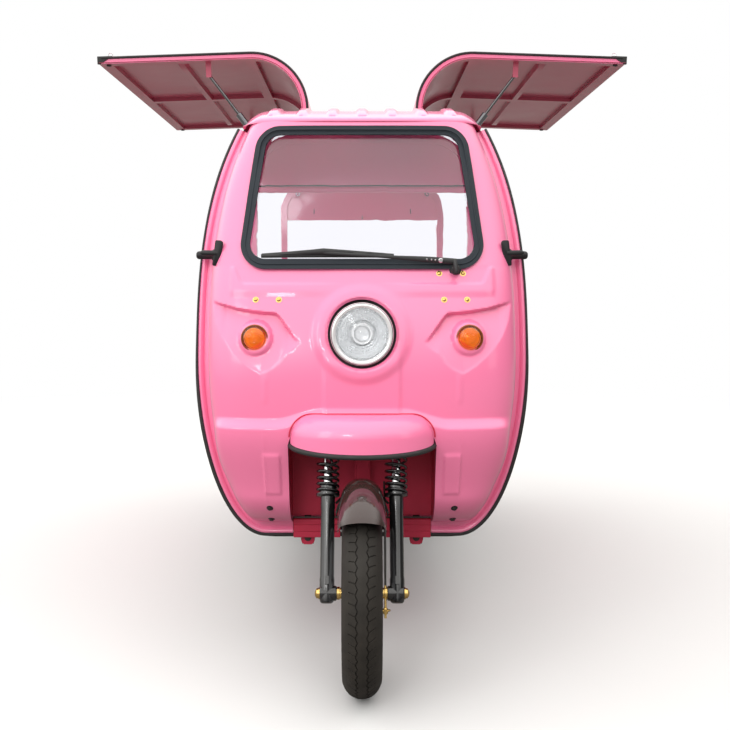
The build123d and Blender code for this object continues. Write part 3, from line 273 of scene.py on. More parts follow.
# ---- wheels: tyres, cast rims and their nuts --------------------------------------------------------------------
# Twelve-inch cast wheels in silver lacquer with motorcycle-type rib tyres of black rubber. The tread is one moulded
# pitch repeated round the tyre: a centre rib with two fine lines, a zigzag groove each side and hooked side cuts.
def new_tree(name, **sockets):
    """An empty geometry tree with named inputs, each given by its kind and value."""
    tree = bpy.data.node_groups.new(name, "GeometryNodeTree")
    tree.interface.new_socket("Geometry", in_out="OUTPUT", socket_type="NodeSocketGeometry")
    for label, (kind, value) in sockets.items():
        made = tree.interface.new_socket(label, in_out="INPUT", socket_type="NodeSocket" + kind)
        if value is not None:
            made.default_value = value
    sizes = tree.nodes.new("NodeGroupInput").outputs
    return tree, sizes


def end_tree(tree, geometry, finish):
    """Ends a geometry tree in plain mesh with a finish."""
    real = put(tree, "GeometryNodeRealizeInstances", {0: geometry}).outputs[0]
    dressed = put(tree, "GeometryNodeSetMaterial", {"Geometry": real, "Material": finish}).outputs[0]
    put(tree, "NodeGroupOutput", {0: dressed})


def baked(piece):
    """What a piece's modifiers make of it, as a plain mesh."""
    return bpy.data.meshes.new_from_object(piece.evaluated_get(bpy.context.evaluated_depsgraph_get()))


def grown(name, tree, body, angle=35, **values):
    """Runs a geometry tree and keeps what it makes as a plain mesh riding on a body."""
    holder = bpy.data.objects.new(name + "_source", bpy.data.meshes.new(name + "_source"))
    scene.collection.objects.link(holder)
    grow = holder.modifiers.new("grow", "NODES")
    grow.node_group = tree
    for item in tree.interface.items_tree:
        if item.in_out == "INPUT" and item.name in values:
            grow[item.identifier] = values[item.name]
    mesh = baked(holder)
    mesh.name = name
    bpy.data.objects.remove(holder)
    return settle(name, mesh, values["Finish"], body, angle)


def held(value):
    """A value held between nought and one."""
    return min(1.0, max(0.0, value))


moulds = []


def shape(name, part):
    """A small mesh that a geometry tree repeats; it is cleared away before the scene closes."""
    moulds.append(build(name, *part, None, None))
    return moulds[-1]


PITCHES = 64
tread, sizes = new_tree("tread_round", Pitches=("Int", PITCHES), Pitch=("Object", None), Centre=("Vector", None),
                        Finish=("Material", None))
count = put(tread, "GeometryNodePoints", {0: sizes["Pitches"]}).outputs[0]
pitch = put(tread, "GeometryNodeObjectInfo", {"Object": sizes["Pitch"]})
index = put(tread, "GeometryNodeInputIndex").outputs[0]
step = put(tread, "ShaderNodeMath", {0: 2 * math.pi, 1: sizes["Pitches"]}, operation="DIVIDE").outputs[0]
turn = put(tread, "ShaderNodeMath", {0: index, 1: step}, operation="MULTIPLY").outputs[0]
around = put(tread, "ShaderNodeCombineXYZ", {0: turn}).outputs[0]
row = put(tread, "GeometryNodeInstanceOnPoints",
          {"Points": count, "Instance": pitch.outputs["Geometry"], "Rotation": around})
solid = put(tread, "GeometryNodeRealizeInstances", {0: row.outputs[0]}).outputs[0]
sealed = put(tread, "GeometryNodeMergeByDistance", {0: solid}).outputs[0]
placed_tyre = put(tread, "GeometryNodeTransform", {"Geometry": sealed, "Translation": sizes["Centre"]}).outputs[0]
end_tree(tread, placed_tyre, sizes["Finish"])

TREAD_R, CROWN_HIGH, CROWN_HALF, INNER_R, ZIGZAG, ROUND = 0.203, 0.047, 0.0475, 0.1652, 2.4, 47.2
columns = [
    (-0.0001, 0, 0, 0), (1.8, 0, 0, 0), (2.0, 0.6, 0, 0), (2.5, 0.6, 0, 0), (2.7, 0, 0, 0), (7.0, 0, 0.2, 0),
    (11.2, 0, 1, 0), (11.9, 3.4, 1, 0), (13.8, 3.4, 1, 0), (14.4, 0, 1, 1), (19.0, 0, 0.4, 1), (24.0, 0, 0, 1),
    (29.0, 0, 0, 1), (33.0, 0, 0, 1), (34.0, 0, 0, 0), (38.0, 0, 0, 0), (43.0, 0, 0, 0), (49.0, 0, 0, 0),
    (56.0, 0, 0, 0), (64.0, -0.8, 0, 0), (66.0, -0.8, 0, 0), (74.0, 0, 0, 0), (82.0, 0, 0, 0)]
rows = [(0.0, 0, -1), (0.22, 0, -0.1), (0.42, 0, 0.7), (0.455, 2.4, 0.8), (0.53, 2.4, 0.95), (0.565, 0, 0.9),
        (0.78, 0, 0.2), (1.0, 0, -1)]


def on_tyre(x, radius, pitches):
    """A point of the tread's mould, some pitches round the tyre."""
    spin = 2 * math.pi * pitches / PITCHES
    return (x, -radius * math.sin(spin), radius * math.cos(spin))


loops = []
for along, cut_depth, zigzag in rows:
    line = []
    for side in (-1, 1):
        half = []
        for across, depth, sway, cut in columns:
            a = (across + ZIGZAG * zigzag * sway) / ROUND
            sunk = (depth + cut_depth * cut) / 1000
            lag = 0.0 if across < 14 else 0.34 * min(1.0, (across - 14) / 19)
            half.append(on_tyre(side * (CROWN_HALF - sunk) * math.sin(a), TREAD_R + (CROWN_HIGH - sunk) * math.cos(a),
                                along + side * 0.25 - lag * (1 if side > 0 else 0.7)))
        line += half[::-1] if side < 0 else half[1:]
    line += [on_tyre(x, INNER_R, along - (0.09 if x > 0 else 0.488)) for x in (0.034, 0.012, -0.012, -0.034)]
    loops.append(line)
pitch_shape = shape("tread_pitch", sweep(loops, capped=False))
tyre_rubber = coat_of("tyre_rubber", (0.0075, 0.0066, 0.0056), (0.0135, 0.0118, 0.010), 14.0, (0.6, 0.78),
                      (0.0006, 0.00015), Specular_IOR_Level=0.25)
dusty(tyre_rubber, (0.1, 0.085, 0.07), 0.0, 0.7, 0.45)
silver = coat_of("silver_lacquer", (0.5, 0.51, 0.52), (0.58, 0.58, 0.6), 9.0, (0.28, 0.4), (0.0009, 0.0001),
                 Metallic=0.85, Coat_Weight=0.3)
bright = coat_of("bright_zinc", (0.55, 0.55, 0.56), (0.66, 0.66, 0.67), 40.0, (0.2, 0.34), (0.0006, 0.00006),
                 Metallic=1.0)

fit, sizes = new_tree("fasteners_on_spots", Spots=("Object", None), Fastener=("Object", None),
                      Finish=("Material", None))
spots = put(fit, "GeometryNodeObjectInfo", {"Object": sizes["Spots"]}).outputs["Geometry"]
head = put(fit, "GeometryNodeObjectInfo", {"Object": sizes["Fastener"]}).outputs["Geometry"]
facing = put(fit, "GeometryNodeInputNamedAttribute", {"Name": "facing"}, data_type="FLOAT_VECTOR").outputs[0]
spin = put(fit, "FunctionNodeRandomValue", {1: (0, 0, 6.28), "Seed": 7}, data_type="FLOAT_VECTOR").outputs[0]
aim = put(fit, "FunctionNodeAlignRotationToVector", {"Rotation": spin, "Vector": facing}, axis="Z").outputs[0]
set_in = put(fit, "GeometryNodeInstanceOnPoints", {"Points": spots, "Instance": head, "Rotation": aim}).outputs[0]
end_tree(fit, set_in, sizes["Finish"])


def fasten(name, head, places, finish, body):
    """Sets a fastener on each place, given as a point and the way it faces."""
    mesh = bpy.data.meshes.new(name + "_spots")
    mesh.from_pydata([p for p, _ in places], [], [])
    way = mesh.attributes.new("facing", "FLOAT_VECTOR", "POINT")
    for i, (_, facing) in enumerate(places):
        way.data[i].vector = facing
    marks = bpy.data.objects.new(name + "_spots", mesh)
    scene.collection.objects.link(marks)
    made = grown(name, fit, body, Spots=marks, Fastener=head, Finish=finish)
    bpy.data.objects.remove(marks)
    return made


def screw_head(name, radius, height, washer):
    """A domed screw head on a washer, its face up."""
    r, h = radius, height
    profile = [(-0.001, 0), (-0.001, r * washer), (0.0006, r * washer), (0.0008, r), (0.35 * h, r * 0.97),
               (0.7 * h, r * 0.78), (0.93 * h, r * 0.5), (h, r * 0.3), (0.8 * h, r * 0.26), (0.8 * h, 0)]
    return shape(name, lathe(profile, "Z", steps=14))


def bolt_head(name, radius, height):
    """A hexagon head on a round washer, its face up."""
    washer = lathe([(-0.001, 0), (-0.001, radius * 1.45), (0.001, radius * 1.45), (0.001, 0)], "Z", steps=16)
    head = [(0.001, 0), (0.001, radius), (height * 0.86, radius), (height, radius * 0.86), (height, 0)]
    return shape(name, joined(washer, lathe(head, "Z", steps=6)))


FRONT_Y, WHEEL_X, NUTS_R, RIM_STEPS = -1.15, 0.36, 0.052, 120
wheel_nut = bolt_head("wheel_nut_head", 0.0075, 0.009)
for place, body, x, y in (("front", "front_wheel", 0.0, FRONT_Y), ("rear_left", "rear_wheel_left", -WHEEL_X, AXLE_Y),
                          ("rear_right", "rear_wheel_right", WHEEL_X, AXLE_Y)):
    tyre = grown(f"{place}_rib_tyre", tread, body, 28, Pitches=PITCHES, Pitch=pitch_shape,
                 Centre=(x, y, WHEEL_Z), Finish=tyre_rubber)
    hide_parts(f"{place}_tyre")
    bore = 0.0103 if place == "front" else 0.0153
    rim_side = [(0.040, bore), (0.040, 0.029), (0.037, 0.033), (0.020, 0.0345), (0.012, 0.042), (0.0095, 0.052),
                (0.0095, 0.075), (0.0095, 0.105), (0.0095, 0.128), (0.013, 0.138), (0.026, 0.143), (0.031, 0.147),
                (0.0335, 0.154), (0.036, 0.161), (0.0345, 0.1648), (0.030, 0.165)]
    loops = []
    for step in range(RIM_STEPS):
        turn = 2 * math.pi * step / RIM_STEPS
        spoke = 0.5 + 0.5 * math.cos(5 * turn)
        lift = held((spoke - 0.42) / 0.22)
        line = []
        for side in (1, -1):
            half = []
            for i, (across, radius) in enumerate(rim_side):
                raised = 0.0075 * lift if 5 <= i <= 8 else (0.004 * lift if i == 9 else 0.0)
                half.append((x + side * (across + raised), y + radius * math.sin(turn),
                             WHEEL_Z + radius * math.cos(turn)))
            line += half if side > 0 else half[::-1]
        loops.append(line)
    rim = build(f"{place}_cast_rim", *sweep(loops, closed=True), silver, body, 40)
    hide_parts(f"{place}_rim")
    if place != "front":
        out = 1 if x > 0 else -1
        turns = [k * math.pi / 2 for k in range(4)]
        ring = [(x + out * 0.0173, y + NUTS_R * math.cos(t), WHEEL_Z + NUTS_R * math.sin(t)) for t in turns]
        ring = [(spot, (out, 0, 0)) for spot in ring]
        fasten(f"{place}_nuts", wheel_nut, ring, bright, body)

# ---- front fork, springs, axle and handlebar --------------------------------------------------------------------
# A leading telescopic fork: gloss black sliders with a threaded spring seat at the top, bare hard-chromed tubes, and
# black coil springs wound closer towards their foot. The axle carries yellow-passivated domed nuts and spacers.
RAKE = math.radians(22)
SIN, COS = math.sin(RAKE), math.cos(RAKE)
FORK_X = 0.087


def on_axis(along, x=0.0, ahead=0.0):
    """A point given along the steering axis from the wheel's centre, beside it and ahead of it."""
    return (x, FRONT_Y + along * SIN - ahead * COS, WHEEL_Z + along * COS + ahead * SIN)


def along_leg(part):
    """A part drawn upright, laid along the right-hand fork leg."""
    return [on_axis(z, FORK_X + px, -py) for px, py, z in part[0]], part[1]


fork_black = coat_of("gloss_black_fork", (0.0045, 0.0045, 0.005), (0.008, 0.008, 0.009), 6.0, (0.16, 0.27),
                     (0.001, 0.00008), Coat_Weight=0.5, Coat_Roughness=0.08)
chrome = coat_of("hard_chrome", (0.62, 0.63, 0.65), (0.7, 0.7, 0.72), 30.0, (0.06, 0.14), (0.0005, 0.00002),
                 Metallic=1.0)
brass = coat_of("yellow_passivate", (0.62, 0.4, 0.12), (0.72, 0.52, 0.2), 60.0, (0.16, 0.32), (0.0005, 0.00008),
                Metallic=1.0)
slider = [(-0.024, 0), (-0.024, 0.013), (-0.021, 0.0165), (-0.012, 0.0185), (0.034, 0.0185), (0.04, 0.0175),
          (0.206, 0.0175), (0.214, 0.0185), (0.240, 0.0185), (0.2425, 0.0295), (0.2445, 0.03), (0.2485, 0.03),
          (0.2495, 0.0215), (0.2745, 0.021), (0.2765, 0.0195), (0.2765, 0.013), (0.2, 0.013), (0.2, 0)]
lug = [(-0.0245, 0), (-0.0245, 0.0165), (-0.022, 0.0185), (0.015, 0.0185), (0.0175, 0.0165), (0.0175, 0)]
legs = pair(along_leg(lathe(slider, "Z", steps=40)), lathe(lug, "X", (FORK_X, FRONT_Y, WHEEL_Z), 28),
            along_leg(slab(-0.005, 0.005, -0.025, -0.012, 0.020, 0.040)))
sliders = build("fork_legs", *legs, fork_black, "steering", 32)
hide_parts("fork_sliders")

coil, sizes = new_tree("wound_spring", Turns=("Float", 5.5), Radius=("Float", 0.0264), Height=("Float", 0.1),
                       Wire=("Float", 0.0036), Closing=("Float", 0.8), Foot=("Vector", None), Lean=("Vector", None),
                       Finish=("Material", None))
helix = put(coil, "GeometryNodeCurveSpiral", {
    "Resolution": 26, "Rotations": sizes["Turns"], "Start Radius": sizes["Radius"], "End Radius": sizes["Radius"],
    "Height": sizes["Height"]}).outputs[0]
spot = put(coil, "ShaderNodeSeparateXYZ", {0: put(coil, "GeometryNodeInputPosition").outputs[0]}).outputs
share = put(coil, "ShaderNodeMath", {0: spot[2], 1: sizes["Height"]}, operation="DIVIDE").outputs[0]
eased = put(coil, "ShaderNodeMath", {0: 1.0, 1: share}, operation="SUBTRACT").outputs[0]
eased = put(coil, "ShaderNodeMath", {0: eased, 1: sizes["Closing"]}, operation="POWER").outputs[0]
risen = put(coil, "ShaderNodeMath", {0: 1.0, 1: eased}, operation="SUBTRACT").outputs[0]
risen = put(coil, "ShaderNodeMath", {0: risen, 1: sizes["Height"]}, operation="MULTIPLY").outputs[0]
moved = put(coil, "ShaderNodeCombineXYZ", {0: spot[0], 1: spot[1], 2: risen}).outputs[0]
wound = put(coil, "GeometryNodeSetPosition", {"Geometry": helix, "Position": moved}).outputs[0]
wire = put(coil, "GeometryNodeCurvePrimitiveCircle", {"Resolution": 10, "Radius": sizes["Wire"]}).outputs[0]
drawn = put(coil, "GeometryNodeCurveToMesh", {"Curve": wound, "Profile Curve": wire, "Fill Caps": True}).outputs[0]
stood = put(coil, "GeometryNodeTransform",
            {"Geometry": drawn, "Translation": sizes["Foot"], "Rotation": sizes["Lean"]}).outputs[0]
end_tree(coil, stood, sizes["Finish"])
for side, hand in ((-1, "left"), (1, "right")):
    one = grown(f"{hand}_spring", coil, "steering", 60, Height=0.0975, Foot=on_axis(0.2528, side * FORK_X),
                Lean=(-RAKE, 0.0, 0.0), Finish=fork_black)
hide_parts("fork_springs")
dress(chrome, "steering_stem")

run = [(0.0, 0), (0.0, 0.0098), (0.112, 0.0098), (0.112, 0)]
nut = [(0.1050, 0), (0.1050, 0.0148), (0.1075, 0.0148), (0.108, 0.0125), (0.1125, 0.0125), (0.1145, 0.0095),
       (0.1165, 0.0055), (0.1173, 0)]
spacer = [(0.041, 0.0099), (0.041, 0.016), (0.0455, 0.016), (0.0465, 0.0135), (0.0545, 0.0135), (0.0555, 0.016),
          (0.0620, 0.016), (0.0620, 0.0099)]
axle = [lathe(section, "X", (0, FRONT_Y, WHEEL_Z), steps, ring)
        for section, steps, ring in ((run, 24, False), (nut, 24, False), (spacer, 32, True))]
front_axle = build("passivated_axle", *pair(*axle), brass, "steering", 30)
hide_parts("front_axle")

BRAKE_X = 0.0575
low, high = (BRAKE_X, FRONT_Y - 0.026, WHEEL_Z - 0.055), (BRAKE_X, FRONT_Y - 0.002, WHEEL_Z + 0.02)
brake = tube([high, (BRAKE_X, FRONT_Y + 0.045, WHEEL_Z + 0.15), on_axis(0.29, BRAKE_X, -0.05)], 0.0028, 8)
brake_rod = build("brake_rod", *brake, frame_black, "steering")
screw = tube([low, high], 0.0032, 10)
wing = lathe([(0.0, 0), (0.0, 0.0062), (0.012, 0.0062), (0.015, 0.0045), (0.015, 0)], "Z",
             (BRAKE_X, FRONT_Y - 0.021, WHEEL_Z - 0.045), 6)
ears = tube([(BRAKE_X + x, FRONT_Y + y, WHEEL_Z + z) for x, y, z in (
    (-0.012, -0.0215, -0.036), (0.0, -0.0195, -0.0395), (0.012, -0.0215, -0.036))], [0.0026, 0.0042, 0.0026], 8)
adjuster = build("brake_adjuster", *joined(screw, wing, ears), brass, "steering")

dress(frame_black, "handlebar")
grip_rubber = coat_of("soft_black_rubber", (0.012, 0.012, 0.012), (0.02, 0.02, 0.02), 20.0, (0.55, 0.8),
                      (0.0006, 0.0002))
bar_end = on_axis(0.728)
inner = Vector((0.07, bar_end[1] + 0.006, bar_end[2] + 0.006))
outer = Vector((0.285, bar_end[1] + 0.114, bar_end[2] + 0.014))
grip_start = inner.lerp(outer, 0.52)
run = (outer - grip_start).length
profile = [(0.0, 0.0112), (0.0, 0.0158), (0.004, 0.0158)]
for ridge in range(14):
    z = 0.008 + ridge * (run - 0.02) / 14
    profile += [(z, 0.0146), (z + 0.0045, 0.0152)]
profile += [(run - 0.008, 0.0145), (run - 0.006, 0.0159), (run - 0.0005, 0.0155), (run - 0.0002, 0.0112)]
turned = (outer - grip_start).to_track_quat("Z", "Y").to_matrix()
points, sides = lathe(profile, "Z", steps=24, ring=True)
grip = [tuple(grip_start + turned @ Vector(p)) for p in points], sides
bar_grips = build("ribbed_grips", *pair(grip), grip_rubber, "steering", 30)
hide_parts("handlebar_grips")
perch, reach = inner.lerp(outer, 0.44), outer - inner
blade = [perch + Vector(off) for off in ((0.0, -0.004, 0.0), (0.008, -0.021, -0.002), (0.03, -0.022, -0.004),
                                         (0.06, -0.006, -0.004), (0.068, -0.002, -0.003))]
levers = pair(tube(blade, [0.007, 0.006, 0.0052, 0.0048, 0.006], 10, flat=0.6),
              tube([perch - reach * 0.05, perch + reach * 0.045], 0.0145, 16))
build("brake_levers", *levers, frame_black, "steering", 50)

# ---- front mudguard ---------------------------------------------------------------------------------------------
# A short crowned guard moulded in dark smoke-tinted plastic, its front lip bowed like a visor. Two rod stays
# with one tab hold each side of it to the inside of the fork legs.
GUARD_HALF, GUARD_R, GUARD_CROWN = 0.0580, 0.2280, 0.0550
GUARD_FROM, GUARD_SPAN, GUARD_THICK, LIP_BOW, TAIL_BOW = 50.3, 114.0, 0.0028, 3.0, 6.0


def guard_point(share, angle, depth=0.0):
    """A point of the guard: share runs across it from -1 to 1, angle round the wheel from straight ahead."""
    narrowing = 0.0052 * held((math.degrees(angle) - 62) / 26)
    x = share * (GUARD_HALF - narrowing - depth)
    radius = GUARD_R - depth * 0.6 + (GUARD_CROWN - depth * 0.4) * (1 - abs(share) ** 2.2) ** (1 / 2.2)
    return (x, FRONT_Y - radius * math.cos(angle), WHEEL_Z + radius * math.sin(angle))


loops = []
for step in range(61):
    line = []
    for face, depth in ((1, 0.0), (-1, GUARD_THICK)):
        spread = [math.sin(math.pi / 2 * k / 14) for k in range(-14, 15)][::face]
        for share in spread:
            bow, tail = LIP_BOW * abs(share) ** 3, TAIL_BOW * abs(share) ** 3
            angle = math.radians(GUARD_FROM + bow + (GUARD_SPAN - bow - tail) * step / 60)
            edge = 0.0012 if step in (0, 60) else 0.0
            line.append(guard_point(share * (1 - 1e-6), angle, depth + (edge if face > 0 else -edge)))
    loops.append(line)
smoke = coat_of("smoke_clear_plastic", (0.026, 0.0135, 0.0118), (0.040, 0.023, 0.020), 9.0, (0.10, 0.16), None,
                IOR=1.36, Coat_Weight=0.45, Coat_Roughness=0.03)
visor = build("smoked_mudguard", *sweep(loops), smoke, "steering", 50)
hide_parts("front_mudguard")
stays = []
for lift in (0.0, 0.05):
    foot = Vector(on_axis(0.20 + lift * 0.5, 0.0655))
    top = Vector(on_axis(0.228 + lift * 0.3, 0.0515, 0.03 - lift))
    stays.append(tube([foot, (foot + top) / 2 + Vector((0.001, 0, 0)), top], 0.0032, 8))
tab = [(0.0, 0), (0.0, 0.009), (-0.003, 0.009), (-0.003, 0)]
stays.append(lathe(tab, "X", on_axis(0.20, 0.0665), 20))
guard_stays = build("mudguard_stays", *pair(*stays), frame_black, "steering")

# ---- front shell ------------------------------------------------------------------------------------------------
# One large vacuum-pressed panel, enamelled pink: a squarish nose and raked screen frame inside a double-beaded rim.
# Pressed into it are the screen surround, a browed pocket round each signal, the lamp boss and the belly ledge.
pink_shell = coat_of("pink_panel_enamel", PINK, PINK_DEEP, 2.2, (0.285, 0.33), (0.0035, 0.00006),
                     Coat_Weight=0.6, Coat_Roughness=0.06, Specular_IOR_Level=0.45)
dusty(pink_shell, (0.42, 0.2, 0.2), 0.3, 0.6, 0.12)
RIM_LOW, RIM_HIGH, FLANGE = 0.328, 1.466, 0.040
FOOT_HALF, FLARE, WIDE_HALF, TAPER = 0.262, 0.188, 0.450, 0.090
WIDE_Z, DROP, RISE, SQUARE = 0.830, 0.502, 0.636, 4.5
RIM_Y, NOSE_Y, NOSE_Z = -0.850, -1.030, 0.740


def rim_half(z):
    """Half the rim's width at a height."""
    if z < WIDE_Z:
        down = (WIDE_Z - z) / DROP
        return FOOT_HALF + FLARE * math.sqrt(max(0.0, 1 - down * down))
    return WIDE_HALF - TAPER * ((z - WIDE_Z) / RISE) ** 3


def rim_y(z):
    """Where the rim lies fore and aft at a height."""
    return RIM_Y + 0.270 * (max(0.0, z - 0.620) / 0.846) ** 2


def nose_y(z):
    """The face's centre line at a height."""
    slope = math.tan(math.radians(27))
    if z < NOSE_Z:
        return NOSE_Y + 0.080 * ((NOSE_Z - z) / 0.412) ** 2
    if z < 1.050:
        return NOSE_Y + 0.5 * slope * (z - NOSE_Z) ** 2 / 0.310
    return NOSE_Y + slope * (0.155 + z - 1.050)


def face_depth(z, grow=0.0):
    """How far the face stands in front of the rim line at a height."""
    lift = held((z - 0.368 + grow) / 0.090)
    return (rim_y(z) - nose_y(z)) * (0.08 + 0.92 * math.sqrt(1 - (1 - lift) ** 2)) + grow


def face_y(x, z, grow=0.0):
    """The plain face before its pressings."""
    share = min(1.0, abs(x) / (rim_half(z) - FLANGE + grow))
    return rim_y(z) - face_depth(z, grow) * (1 - share ** SQUARE) ** (1 / SQUARE)


def ease(value, low, high):
    """Nought below a low value, one above a high one, smooth between."""
    share = held((value - low) / (high - low))
    return share * share * (3 - 2 * share)


def line_height(points, x):
    """The height of a line of (x, z) corners at a place, or None outside it."""
    for (x0, z0), (x1, z1) in zip(points, points[1:]):
        if x0 <= x <= x1:
            return z0 + (z1 - z0) * (x - x0) / max(1e-9, x1 - x0)
    return None


BROW = [(0.160, 0.8645), (0.170, 0.872), (0.2135, 0.931), (0.2225, 0.9385), (0.275, 0.943), (0.325, 0.9505),
        (0.373, 0.9625), (0.392, 0.969)]
POCKET = [(0.160, 0.8635), (0.168, 0.858), (0.180, 0.846), (0.198, 0.835), (0.212, 0.812), (0.232, 0.795),
          (0.259, 0.783), (0.292, 0.803), (0.329, 0.835), (0.362, 0.878), (0.381, 0.917), (0.392, 0.968)]
LAMP_Z, SIGNAL_X, SIGNAL_Z = 0.886, 0.276, 0.875


def pressing(x, z):
    """How far the pressings stand out of the plain face at a place; the two sides are alike."""
    ax = abs(x)
    out = 0.0
    brow, foot = line_height(BROW, ax), line_height(POCKET, ax)
    if brow is not None and foot < z < brow + 0.004:
        depth = 0.0175 * held((ax - 0.162) / 0.03) * held((0.392 - ax) / 0.03)
        floor = depth * min(1.0, (z - foot) / max(0.012, 0.86 * (brow - foot)))
        brow_edge = ease(z, brow + 0.003, brow - 0.008)
        boss = ease(math.hypot(ax - SIGNAL_X, z - SIGNAL_Z), 0.0385, 0.0475)
        out -= floor * brow_edge * boss
        out -= 0.0012 * ease(z, foot, foot + 0.004) * boss * brow_edge
    ring = math.hypot(ax - SIGNAL_X, z - SIGNAL_Z)
    out += 0.0015 * ease(ring, 0.0415, 0.0345)
    away = math.hypot(x, z - LAMP_Z)
    if away < 0.150:
        out += 0.0085 * ease(away, 0.134, 0.108) - 0.0075 * ease(away, 0.096, 0.087)
    if 0.98 < z < 1.08:
        turn = 0.020 * ease(ax, 0.300, 0.338) ** 2
        edge = 1.0145 + turn * 2.2
        fade = ease(ax, 0.03, 0.15)
        step = ease(z, edge + 0.0035, edge - 0.0035) * (1 - ease(z, 1.000, 0.975))
        out += 0.0045 * step * fade * ease(ax, 0.352, 0.335)
        out -= 0.0016 * ease(z, edge - 0.002, edge + 0.005) * fade * ease(z, 1.066, 1.05)
    belly = 0.668 + 0.030 * ease(ax, 0.225, 0.098)
    under = belly - z
    if -0.006 < under < 0.24:
        ledge = ease(under, -0.003, 0.0270) * (1 - ease(under, 0.035, 0.2))
        out += 0.0215 * ledge * ease(ax, 0.398, 0.352) * (0.45 + 0.55 * ease(ax, 0.10, 0.2))
    if ax < 0.13 and 0.660 < z < 0.86:
        out += 0.0050 * ease(ax, 0.103, 0.093) * ease(z, 0.86, 0.80) * ease(z, 0.655, 0.70)
    if 0.46 < z < 0.585 and 0.18 < ax < 0.27:
        out += 0.0036 * ease(abs(ax - 0.232), 0.024, 0.019) * ease(z, 0.462, 0.470) * ease(z, 0.582, 0.571)
    if 0.40 < z < 0.66:
        out += 0.0014 * ease(abs(ax - 0.250), 0.004, 0.0) * ease(z, 0.41, 0.45) * ease(z, 0.655, 0.62)
    if 0.70 < z < 0.80:
        out += 0.0016 * ease(abs(ax - 0.250), 0.012, 0.0) * ease(z, 0.80, 0.76) * ease(z, 0.70, 0.72)
    return out


def around(turn, half, depth, front):
    """A point of the face's squarish section, turned from its left-hand end."""
    c, s = math.cos(turn), math.sin(turn)
    return -math.copysign(abs(c) ** (2 / SQUARE), c) * half, front - depth * max(0.0, s) ** (2 / SQUARE)


def heading(line, i):
    """Which way a flat line of points runs at one of them."""
    before, after = line[max(0, i - 1)], line[min(len(line) - 1, i + 1)]
    return Vector((after[0] - before[0], after[1] - before[1])).normalized()


ACROSS = 260
heights = []
z = 0.3682
while z < RIM_HIGH - 0.003:
    heights.append(z)
    z += 0.0022 if z < 0.385 else (0.0042 if z < 0.64 else (0.0032 if z < 1.075 else 0.0085))
heights.append(RIM_HIGH)
FINE = [math.pi * (0.5 - 0.5 * math.cos(math.pi * k / 400)) for k in range(401)]
loops = []
for z in heights:
    half, depth, front = rim_half(z) - FLANGE, face_depth(z), rim_y(z)
    curve = [(-half, front + 0.020), *(around(turn, half, depth, front) for turn in FINE), (half, front + 0.020)]
    length = [0.0]
    for a, b in zip(curve, curve[1:]):
        length.append(length[-1] + math.dist(a, b))
    line, k = [], 0
    for step in range(ACROSS + 1):
        want = length[-1] * step / ACROSS
        while k < len(length) - 2 and length[k + 1] < want:
            k += 1
        share = (want - length[k]) / max(1e-12, length[k + 1] - length[k])
        line.append(tuple(a + (b - a) * share for a, b in zip(curve[k], curve[k + 1])))
    outline = []
    for step, (x, y) in enumerate(line):
        along = heading(line, step)
        out = pressing(x, z) * ease(rim_y(z) - y, 0.004, 0.03)
        outline.append((x + along.y * out, y - along.x * out, z))
    loops.append(outline)
inner_z = [0.3802, 0.395, 0.42, 0.46, 0.52, 0.62, 0.72, 0.76, 0.78, 0.80, 0.83, 0.86, 0.90, 0.94, 0.97, 0.985,
           1.0, 1.06, 1.15, 1.25, 1.36, RIM_HIGH + 0.002]
inner = []
for z in inner_z:
    half, depth, front = rim_half(min(z, RIM_HIGH)) - FLANGE - 0.012, face_depth(z, -0.012) - 0.001, rim_y(z)
    line = [(-half, front + 0.03, z)]
    for step in range(97):
        x, y = around(math.pi * step / 96, half, depth, front)
        back = ease(abs(x), 0.14, 0.18) * ease(abs(x), 0.405, 0.385) * ease(z, 0.765, 0.80) * ease(z, 1.0, 0.965)
        line.append((x, min(y + 0.015 * back, front + 0.01), z))
    line.append((half, front + 0.03, z))
    inner.append(line)


def oblong(x0, z0, x1, z1):
    """A rectangle's corners, from one corner and the opposite one."""
    return [(x0, z0), (x1, z0), (x1, z1), (x0, z1)]


def rounded(corners, radius, steps=10):
    """An (x, z) outline with its corners rounded by one radius, or one radius for each."""
    path = []
    count = len(corners)
    for i, corner in enumerate(corners):
        size = radius[i] if isinstance(radius, (list, tuple)) else radius
        here = Vector(corner)
        back = (Vector(corners[i - 1]) - here).normalized()
        ahead = (Vector(corners[(i + 1) % count]) - here).normalized()
        if size < 1e-6:
            path.append(tuple(here))
            continue
        half = back.angle(ahead) / 2
        centre = here + (back + ahead).normalized() * (size / math.sin(half))
        start, end = here + back * (size / math.tan(half)), here + ahead * (size / math.tan(half))
        a, b = start - centre, end - centre
        full = a.angle(b)
        for step in range(steps + 1):
            turn = full * step / steps
            path.append(tuple(centre + (a * math.sin(full - turn) + b * math.sin(turn)) / math.sin(full)))
    return path


def prism(outline, y0, y1):
    """An (x, z) outline carried fore and aft."""
    return sweep([[(x, y, z) for x, z in outline] for y in (y0, y1)])


def carved(piece, *cutters, way="DIFFERENCE"):
    """Cuts parts out of a closed piece, or joins them to it, and keeps the result as its mesh."""
    for cutter in cutters:
        tool = shape("cutter", cutter)
        cut = piece.modifiers.new("cut", "BOOLEAN")
        cut.operation, cut.object, cut.solver = way, tool, "MANIFOLD"
    mesh = baked(piece)
    piece.modifiers.clear()
    piece.data = mesh
    return piece


screen_hole = rounded([(-0.316, 1.065), (0.316, 1.065), (0.277, 1.440), (-0.277, 1.440)], 0.056, 14)
turns = [math.pi * t / 48 for t in range(96)]
lamp_hole = [(0.088 * math.cos(turn), LAMP_Z + 0.088 * math.sin(turn)) for turn in turns]
mouth = rounded(oblong(-0.190, 0.200, 0.190, 0.655), [0, 0, 0.060, 0.060], 10)

